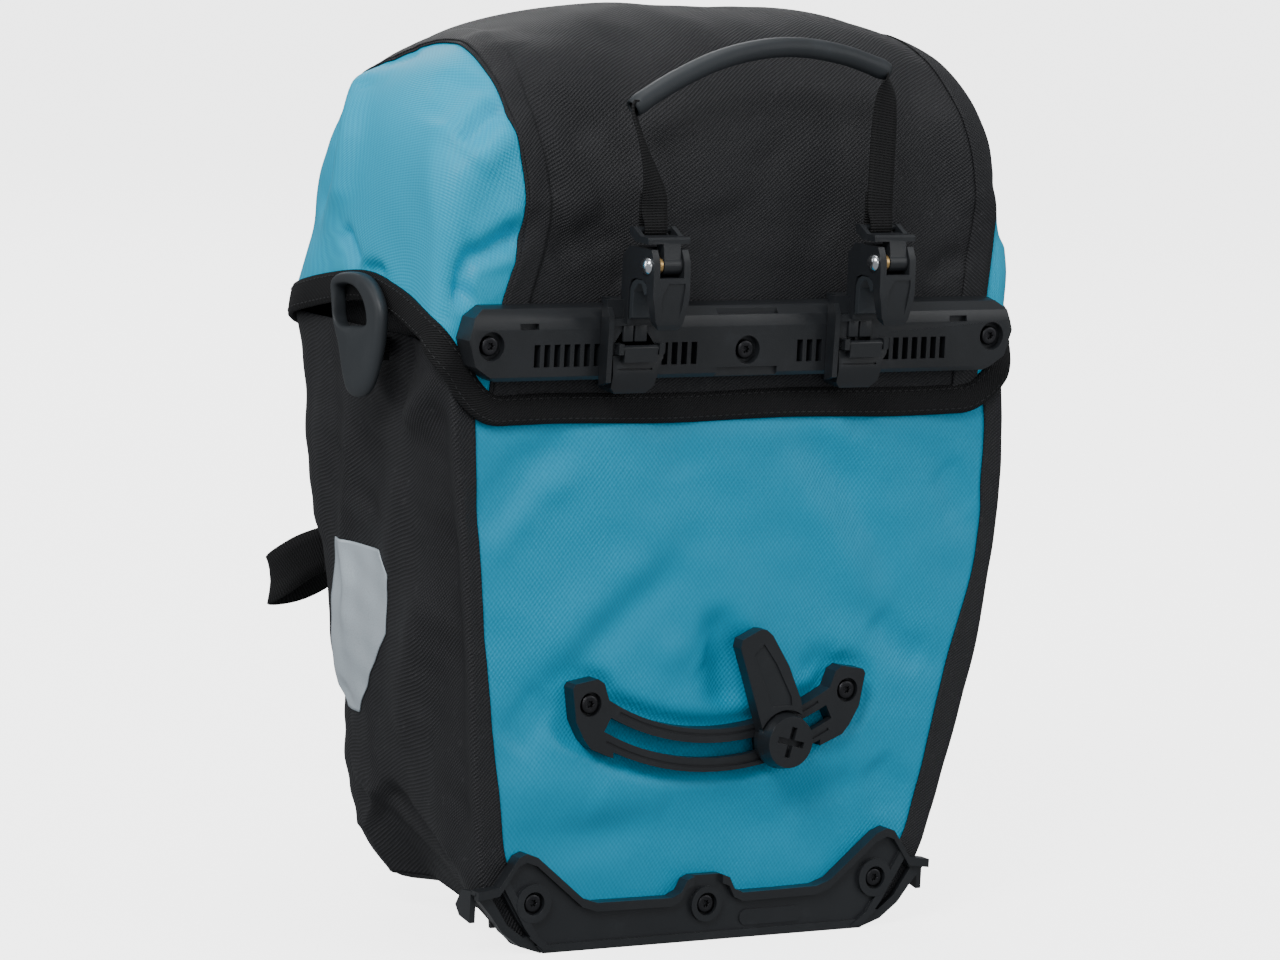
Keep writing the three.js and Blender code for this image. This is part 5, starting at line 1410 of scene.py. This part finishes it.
# ---------------------------------------------------------------- handle
HANDLE_PATH = [  # (x, y, z, across x, across y, across z, width share)
    (-62.9, -24.9, 361.5, 1, 0, 0, 1), (-62.9, -25, 353, 1, 0, 0, 1), (-62.9, -24, 348, 1, 0, 0, 0.9),
    (-62.9, -23.6, 344.5, 1, 0, 0, 0.86), (-62.9, -24.4, 342.4, 1, 0, 0, 0.86),
    (-62.9, -26.4, 341.6, 1, 0, 0, 0.86), (-62.9, -28.4, 342.4, 1, 0, 0, 0.86),
    (-62.9, -29.2, 344.5, 1, 0, 0, 0.86), (-62.9, -28.6, 348, 1, 0, 0, 0.9), (-63, -27, 353.5, 1, 0, 0, 1),
    (-63.1, -26.6, 360, 1, 0.1, 0, 1), (-64.4, -25.4, 369, 0.9, 0.45, 0, 0.97),
    (-66.6, -23, 379, 0.72, 0.7, 0, 0.95), (-68.8, -20, 389, 0.6, 0.8, 0, 0.92),
    (-70.3, -17.2, 397, 0.6, 0.8, 0, 0.8), (-70, -15.6, 401.6, 0.5, 0.86, -0.2, 0.62),
    (-67, -15, 402.6, 0, 1, 0, 0.5), (-61, -15, 405, 0, 1, 0, 0.46), (-40, -15, 415.5, 0, 1, 0, 0.46),
    (-10, -15, 426.2, 0, 1, 0, 0.46), (20, -15, 429, 0, 1, 0, 0.46), (48, -15, 424.5, 0, 1, 0, 0.46),
    (62, -15, 420.5, 0, 1, 0, 0.46), (67.5, -15, 418.4, 0.1, 1, 0, 0.6),
    (70.6, -15.4, 414.6, 0.55, 0.8, 0, 0.9), (70.3, -16.4, 408, 0.9, 0.4, 0, 1),
    (68.8, -18.2, 398, 1, 0.12, 0, 1), (66.9, -20.8, 385, 1, 0, 0, 1), (64.6, -24.2, 369, 1, 0, 0, 1),
    (63.2, -26.4, 359, 1, 0, 0, 1), (62.9, -27, 353.5, 1, 0, 0, 1), (62.9, -28.6, 348, 1, 0, 0, 0.9),
    (62.9, -29.2, 344.5, 1, 0, 0, 0.86), (62.9, -28.4, 342.4, 1, 0, 0, 0.86),
    (62.9, -26.4, 341.6, 1, 0, 0, 0.86), (62.9, -24.4, 342.4, 1, 0, 0, 0.86),
    (62.9, -23.6, 344.5, 1, 0, 0, 0.86), (62.9, -24, 348, 1, 0, 0, 0.9), (62.9, -25, 353, 1, 0, 0, 1),
    (62.9, -24.9, 361.5, 1, 0, 0, 1),
]
GRIP_PATH = [
    (-70, -15, 399.6), (-62, -15, 404.8), (-46, -15, 413.4), (-24, -15, 422.4), (0, -15, 427.6),
    (22, -15, 428.4), (44, -15, 425.4), (60, -15, 421), (70.6, -15, 417.4),
]


class PANNIER_OT_handle(bpy.types.Operator):
    """Build the carrying handle: one length of webbing through a moulded grip"""

    bl_idname = "pannier.handle"
    bl_label = "Carrying handle"

    def execute(self, context):
        wide = context.scene.pannier_straps.handle_width / MM
        line = spline(HANDLE_PATH, 300)
        place, across, share = line[:, :3], line[:, 3:6], line[:, 6]
        strap = ribbon("handle_strap", place, across, wide * share, 1.15, polyester_strap())
        on(strap, "handle", "webbing", "handle_webbing")
        path = spline(GRIP_PATH, 90)
        count = len(path)
        ends = np.minimum(np.arange(count), np.arange(count)[::-1])
        radius = 4.75 - 0.45 * smooth(2.5, 0, ends) + 0.2 * smooth(6, 2.5, ends) * smooth(0, 2.5, ends)
        grip = tube("handle_grip_moulded", path, radius, soft_plastic(), sides=30, inner=3.4, up=(0, 1, 0))
        on(grip, "handle", "soft_plastic", "handle_grip")
        return {"FINISHED"}


# ---------------------------------------------------------------- side fittings
REFLECTOR_EDGE = [  # (Y, Z) round the film
    (63.7, 170.8), (71, 182.3), (113, 182.3), (124, 151), (124, 108), (117, 97), (102, 98.2), (67.7, 142.3)]
REFLECTOR_LOW, REFLECTOR_HIGH = 98.3, 182.2
FILM_PROUD = 0.75


def reflector_span(z):
    """The lowest and highest Y of the reflecting film at a height."""
    crossings = []
    for (y0, z0), (y1, z1) in zip(REFLECTOR_EDGE, REFLECTOR_EDGE[1:] + REFLECTOR_EDGE[:1]):
        if (z0 - z) * (z1 - z) <= 0 and z0 != z1:
            crossings.append(y0 + (y1 - y0) * (z - z0) / (z1 - z0))
    return min(crossings), max(crossings)


# Outline and eye of the side hook, from its middle and its foot, in (Y, Z).
HOOK_OUTLINE = [(20, 55), (11, 57.6), (-2, 58.2), (-12, 55.4), (-19.5, 49.5), (-23.4, 43), (-23.6, 33), (-21.6, 21),
                (-16.5, 8), (-10, 2), (-2, 0), (5.5, 1.4), (9.6, 8), (13.8, 20), (18.6, 32), (22, 44),
                (23.6, 51)]
HOOK_EYE = [(17.5, 50.5), (9, 52.0), (0.5, 50.8), (-6.5, 45.5), (-10.5, 37.5), (-7, 34.5), (3, 33.2), (12, 32.4),
            (17.4, 35.0), (18.8, 42), (19, 48)]


def closed_spline(points, count):
    p = np.array(points, float)
    line = spline(np.vstack([p[-2:], p, p[:2]]), 900)
    start = np.argmin(np.linalg.norm(line[:200] - p[0], axis=1))
    end = 700 + np.argmin(np.linalg.norm(line[700:] - p[0], axis=1))
    return evenly(line[start:end], count, closed=True)


def side_hook(name, side):
    """A shoulder-strap hook: a thick rounded ring about its eye, running into a dished tongue."""
    low, high = low_high("side_hook_" + name)
    middle, foot, thick = (low[1] + high[1]) / 2, low[2], high[0] - low[0]
    centre = np.array([3.0, 42.0])
    count, steps = 96, 15
    turn = np.linspace(0, 2 * math.pi, count, endpoint=False)

    def on_ray(outline):
        line = closed_spline(outline, 1200) - centre
        angle = np.unwrap(np.arctan2(line[:, 1], line[:, 0]))
        order = np.argsort(angle % (2 * math.pi))
        reach = np.linalg.norm(line, axis=1)[order]
        return np.interp(turn, (angle % (2 * math.pi))[order], reach, period=2 * math.pi)

    inner, outer = on_ray(HOOK_EYE), on_ray(HOOK_OUTLINE)
    ray = np.column_stack([np.cos(turn), np.sin(turn)])
    share = (1 - np.cos(np.linspace(0, math.pi, steps))) / 2
    face_in = (low[0] + high[0]) / 2
    rings = []
    for sign, run in ((1, share), (-1, share[::-1][1:-1])):
        for s in run:
            reach = inner + (outer - inner) * s
            flat = centre + ray * reach[:, None]
            wide = np.clip((outer - inner - 6) / 20, 0, 1)
            bulge = (1 - np.abs(2 * s - 1) ** 3.0) ** 0.42
            dish = 0.24 * wide * math.sin(math.pi * s) ** 2
            lift = thick / 2 * (bulge - dish)
            rings.append(np.column_stack([face_in + sign * side * lift, middle + flat[:, 0], foot + flat[:, 1]]))
    grid = np.array(rings)
    grid = np.concatenate([grid, grid[:1]])
    return solid(f"side_hook_{name}_moulded", grid, grid_faces(len(grid), count, wrap=True), soft_plastic())


class PANNIER_OT_side_fittings(bpy.types.Operator):
    """Build the side hooks, the tabs that hold them and the reflecting films"""

    bl_idname = "pannier.side_fittings"
    bl_label = "Side fittings"

    def execute(self, context):
        for name, side in SIDES.items():
            on(side_hook(name, side), "bag", "soft_plastic", "side_hook_" + name)
            tab = rounded_copy("side_hook_tab_" + name, "side_hook_tab_" + name + "_sewn", polyester_strap(), 0.4)
            lay_flat(tab, 1, 2)
            on(tab, "bag", "webbing", "side_hook_tab_" + name)
            rows = []
            for z in np.linspace(REFLECTOR_LOW, REFLECTOR_HIGH, 56):
                low, high = reflector_span(z)
                y = np.linspace(low, high, 40)
                rows.append(level_row(side * (side_face(y, z, side) + FILM_PROUD), y, z))
            film = cloth("reflector_film_" + name, np.array(rows), BODY_INSIDE, bead_film(), 0.0006)
            on(film, "bag", "reflective", "reflector_" + name)
        return {"FINISHED"}


# ---------------------------------------------------------------- street side
class PANNIER_OT_street_straps(bpy.types.Operator):
    """Build the compression strap with its slack loop, the vertical strap, the lid strap and their buckles"""

    bl_idname = "pannier.street_straps"
    bl_label = "Street-side straps"

    def execute(self, context):
        sizes = context.scene.pannier_straps
        wide, thick = sizes.strap_width / MM, sizes.strap_thickness / MM
        middle = (low_high("cross_strap")[0][2] + low_high("cross_strap")[1][2]) / 2
        x = np.linspace(-131, 131, 120)
        strap = ribbon("compression_strap", level_row(x, front_face(x, middle) + 1.5, middle), (0, 0, 1), wide,
                       thick, polyester_strap())
        on(strap, "bag", "webbing", "cross_strap")
        # The slack end leaves the ladder lock, hangs out past the corner and comes back under itself.
        loop = [(-109.3, 154.4, 0), (-116, 157, -1), (-124, 161, -4), (-131, 166, -8), (-137, 172, -14),
                (-140, 179, -20), (-138, 186, -24), (-131, 188, -25), (-124, 184, -22), (-118, 177, -16),
                (-114, 169, -8), (-111.3, 162.4, -2)]
        line = spline([(a, b, middle + c) for a, b, c in loop], 140)
        strap = ribbon("compression_strap_loop", line, (-0.1, -0.1, 1), wide - 3, thick, polyester_strap())
        on(strap, "bag", "webbing", "strap_loop")
        z = np.linspace(28, middle + 14, 80)
        climb = np.column_stack([np.zeros(80), front_face(0, z) + 1.3 + 1.6 * smooth(146, 156, z), z])
        bar_z = low_high("buckle_socket")[0][2] + 4.5
        top = [(0, 158.5, middle + 28), (0, 164.5, bar_z - 11), (0, 166.9, bar_z - 6), (0, 167.1, bar_z - 1.6),
               (0, 168.6, bar_z), (0, 174.5, bar_z)]
        strap = ribbon("lid_strap_lower", spline(np.vstack([climb[::4], top]), 160), (1, 0, 0), wide - 1.2, thick,
                       polyester_strap())
        on(strap, "bag", "webbing", "front_strap")
        plug_top = low_high("buckle_plug")[1][2]
        line = [(0, LID_FRONT + 1.2, 338), (0, LID_FRONT + 1.4, 320), (0, LID_FRONT + 1.4, 300),
                (0, LID_FRONT + 1.7, 284), (0, 167.1, plug_top + 3), (0, 167.1, plug_top - 7)]
        strap = ribbon("lid_strap_upper", spline(line, 90), (1, 0, 0), wide - 1.2, thick, polyester_strap())
        on(strap, "lid", "webbing", "lid_strap")
        moulded(["buckle_socket", "strap_ladder_lock"], "bag", 0.6, 3)
        moulded(["buckle_plug"], "plug", 0.5)
        return {"FINISHED"}


# ---------------------------------------------------------------- under the lid
COLLAR_FOOT, COLLAR_BEND, COLLAR_BEND_SHARE = 274, 296, 0.15
PLEAT = 0.8  # depth of the collar's gathers


def drawn_in(z, top):
    """How far the collar is drawn in at a height: 0 at its foot, 1 at its top."""
    return float(table(z, (COLLAR_FOOT, 0), (COLLAR_BEND, COLLAR_BEND_SHARE), (top, 1)))


def collar_ring(share, z, inset=0.0, count=220):
    """A level ring of the collar, from its foot, 0, to its drawn top, 1."""
    deep = RIM_DEPTH / 2 - 12.2 + (50.0 - (RIM_DEPTH / 2 - 12.2)) * share - inset
    wide = RIM_HALF_WIDTH - 6.2 + (122.0 - (RIM_HALF_WIDTH - 6.2)) * share - inset
    corner = 24.0
    turn = np.linspace(0, math.pi / 2, 12)
    quarter = np.column_stack([wide - corner + corner * np.cos(turn), deep - corner + corner * np.sin(turn)])
    flip = quarter[::-1]
    ring = np.vstack([quarter, flip * [-1, 1], quarter * [-1, -1], flip * [1, -1]])
    ring = evenly(ring, count, closed=True)
    return np.column_stack([ring[:, 0], ring[:, 1] + RIM_DEPTH / 2, np.full(count, z)])


class PANNIER_OT_collar(bpy.types.Operator):
    """Build the drawn collar under the lid, its cord and the cord lock"""

    bl_idname = "pannier.collar"
    bl_label = "Collar and cord"

    def execute(self, context):
        top = float(low_high("inner_collar")[1][2])
        rings = []
        heights = np.concatenate([np.linspace(COLLAR_FOOT + 0.5, COLLAR_BEND, 8)[:-1],
                                  np.linspace(COLLAR_BEND, top - 0.6, 34)])
        for z in heights:
            ring = collar_ring(drawn_in(z, top), z, 0.4)
            centre = np.array([0, RIM_DEPTH / 2, z])
            away = unit(ring - centre)
            run = np.linspace(0, 2 * math.pi, len(ring), endpoint=False)
            pleats = np.sin(run * 46 + 1.3 * np.sin(run * 5)) + 0.5 * np.sin(run * 31)
            gather = smooth(top - 45, top - 10, z)
            rings.append(ring - away * (PLEAT * gather * (pleats + 1.2))[:, None])
        grid = np.array(rings)
        count = grid.shape[1]
        uv = strip_map(np.linspace(0, 780, count), heights, grid.shape[:2])
        piece = solid("collar_cloth", grid, grid_faces(len(grid), count, wrap=True), twill_cloth(38), uv)
        give_wall(piece, 0.0008)
        on(piece, "bag", "black_fabric", "inner_collar")
        cord_z = float(low_high("collar_cord")[0][2]) + 1.8
        cord = tube("collar_cord_braided", collar_ring(drawn_in(cord_z, top), cord_z, -2.2, 260), 1.7,
                    strap_cloth(1.4, 1.1, 1.2), sides=12, closed=True)
        on(cord, "bag", "webbing", "collar_cord")
        moulded(["cord_lock_body"], "bag", 0.6)
        moulded(["cord_lock_button"], "cord_lock_button", 0.6)
        return {"FINISHED"}


class PANNIER_OT_inside(bpy.types.Operator):
    """Finish the stiffening board and the backing strips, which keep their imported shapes"""

    bl_idname = "pannier.inside"
    bl_label = "Board and strips"

    def execute(self, context):
        for node in ("back_board", "rail_backing_strip", "arc_backing_strip", "guard_backing_strip"):
            mesh = frame["nodes"][node].data
            mesh.materials.clear()
            mesh.materials.append(board_plastic())
        return {"FINISHED"}


# ---------------------------------------------------------------- stage
CAMERA_TURN = (32.31, 8.01, 3.01)  # degrees round the bag, downwards and tilted
CAMERA_AIM, CAMERA_DISTANCE, CAMERA_LENS = (-0.046, 0, 0.2231), 2.9147, 174.4
FLOOR_RINGS = [  # (radius, height): a floor that curves up all round into a backdrop
    (1, 0), (3500, 0), (5200, 0), (5900, 110), (6500, 480), (6900, 1200), (7000, 2400), (7000, 6500)]
LAMPS = [  # name, place, aim, width, height, watts
    ("key", (-2.2, -1.6, 2.5), (-0.05, 0, 0.3), 1.3, 1.3, 66),
    ("fill", (2.4, -2.2, 1.5), (0, 0, 0.22), 1.6, 2.0, 20),
    ("front", (-0.6, -3.2, 1.0), (0, 0, 0.2), 1.6, 1.2, 9),
    ("top", (0.2, 0.1, 3.0), (0, 0.05, 0.3), 1.6, 1.2, 20),
    ("rear", (0.8, 2.6, 2.0), (0, 0.1, 0.25), 1.8, 1.8, 26),
    ("left", (-2.9, 0.9, 1.2), (-0.1, 0.08, 0.25), 0.9, 1.8, 16),
]


class PANNIER_OT_stage(bpy.types.Operator):
    """Set the floor, the backdrop, the lamps and the camera"""

    bl_idname = "pannier.stage"
    bl_label = "Stage"

    def execute(self, context):
        scene = context.scene
        stage = scene.pannier_stage
        yaw, pitch, roll = (math.radians(a) for a in CAMERA_TURN)
        view = Vector((math.sin(yaw) * math.cos(pitch), math.cos(yaw) * math.cos(pitch), -math.sin(pitch)))
        right = Vector((math.cos(yaw), -math.sin(yaw), 0))
        up = right.cross(view)
        tilted_right = right * math.cos(roll) + up * math.sin(roll)
        tilted_up = up * math.cos(roll) - right * math.sin(roll)
        data = bpy.data.cameras.new("camera")
        data.lens, data.sensor_width = CAMERA_LENS, 36
        data.clip_start, data.clip_end = 0.1, 60
        camera = bpy.data.objects.new("camera", data)
        scene.collection.objects.link(camera)
        camera.matrix_world = Matrix((
            (tilted_right.x, tilted_up.x, -view.x, 0), (tilted_right.y, tilted_up.y, -view.y, 0),
            (tilted_right.z, tilted_up.z, -view.z, 0), (0, 0, 0, 1)))
        camera.location = Vector(CAMERA_AIM) - view * CAMERA_DISTANCE
        scene.camera = camera

        turn = np.linspace(0, 2 * math.pi, 64, endpoint=False)
        points = [level_row(np.cos(turn) * r, np.sin(turn) * r, z - 0.05) for r, z in FLOOR_RINGS]
        floor = new_object("floor", np.array(points), grid_faces(len(points), 64, wrap=True) + [tuple(range(64))])
        n = Nodes("floor_paper")
        where = n.place()
        mottle = n.noise(where, 3.0, 3.0)
        pale = tuple(stage.floor_colour)
        tone = n.mix(mottle.ramp(0.3, 0.7), shade(pale, 1.0), shade(pale, 0.985))
        floor.data.materials.append(n.finish(Base_Color=tone, Roughness=mottle * 0.1 + 0.85, Specular_IOR_Level=0.2,
                                        Emission_Color=(1.0, 1.0, 1.0, 1.0), Emission_Strength=3.4))
        # The floor is seen and takes shadows, but lends the bag no light.
        floor.visible_diffuse = floor.visible_glossy = False

        world = bpy.data.worlds.new("studio")
        world.use_nodes = True
        glow = world.node_tree.nodes["Background"]
        glow.inputs["Color"].default_value = (0.93, 0.965, 1.0, 1.0)
        glow.inputs["Strength"].default_value = 0.31 * stage.light
        scene.world = world
        for name, place, target, width, height, watts in LAMPS:
            lamp = bpy.data.lights.new(name, "AREA")
            lamp.shape = "RECTANGLE"
            lamp.size, lamp.size_y = width, height
            lamp.energy = watts * stage.light
            holder = bpy.data.objects.new(name, lamp)
            scene.collection.objects.link(holder)
            holder.location = place
            holder.rotation_euler = (Vector(target) - Vector(place)).to_track_quat("-Z", "Y").to_euler()
        return {"FINISHED"}


# ---------------------------------------------------------------- add-on
PIECES = (
    PANNIER_OT_stage, PANNIER_OT_body, PANNIER_OT_lid, PANNIER_OT_hem, PANNIER_OT_rail, PANNIER_OT_hooks,
    PANNIER_OT_handle, PANNIER_OT_lower_rail, PANNIER_OT_protector, PANNIER_OT_screws, PANNIER_OT_side_fittings,
    PANNIER_OT_street_straps, PANNIER_OT_collar, PANNIER_OT_inside,
)


class PANNIER_PT_pieces(bpy.types.Panel):
    """Lists the operators that make each piece, with the sizes and colours they use"""

    bl_idname = "PANNIER_PT_pieces"
    bl_label = "Pannier bag"
    bl_space_type = "VIEW_3D"
    bl_region_type = "UI"
    bl_category = "Pannier"

    def draw(self, context):
        for title, settings in (("Cloth", context.scene.pannier_cloth), ("Straps", context.scene.pannier_straps),
                                ("Fittings", context.scene.pannier_trim), ("Stage", context.scene.pannier_stage)):
            box = self.layout.box()
            box.label(text=title)
            for key in settings.bl_rna.properties.keys():
                if key not in {"rna_type", "name"}:
                    box.prop(settings, key)
        column = self.layout.column(align=True)
        for piece in PIECES:
            column.operator(piece.bl_idname)


SETTINGS = {
    "pannier_cloth": PannierClothSettings,
    "pannier_straps": PannierStrapSettings,
    "pannier_trim": PannierTrimSettings,
    "pannier_stage": PannierStageSettings,
}
CLASSES = (*SETTINGS.values(), *PIECES, PANNIER_PT_pieces)


def register():
    for made in CLASSES:
        bpy.utils.register_class(made)
    for name, group in SETTINGS.items():
        setattr(bpy.types.Scene, name, bpy.props.PointerProperty(type=group))


def unregister():
    for name in SETTINGS:
        delattr(bpy.types.Scene, name)
    for made in reversed(CLASSES):
        bpy.utils.unregister_class(made)


def main():
    register()
    for piece in PIECES:
        group, name = piece.bl_idname.split(".")
        getattr(getattr(bpy.ops, group), name)()


if __name__ == "__main__":
    main()
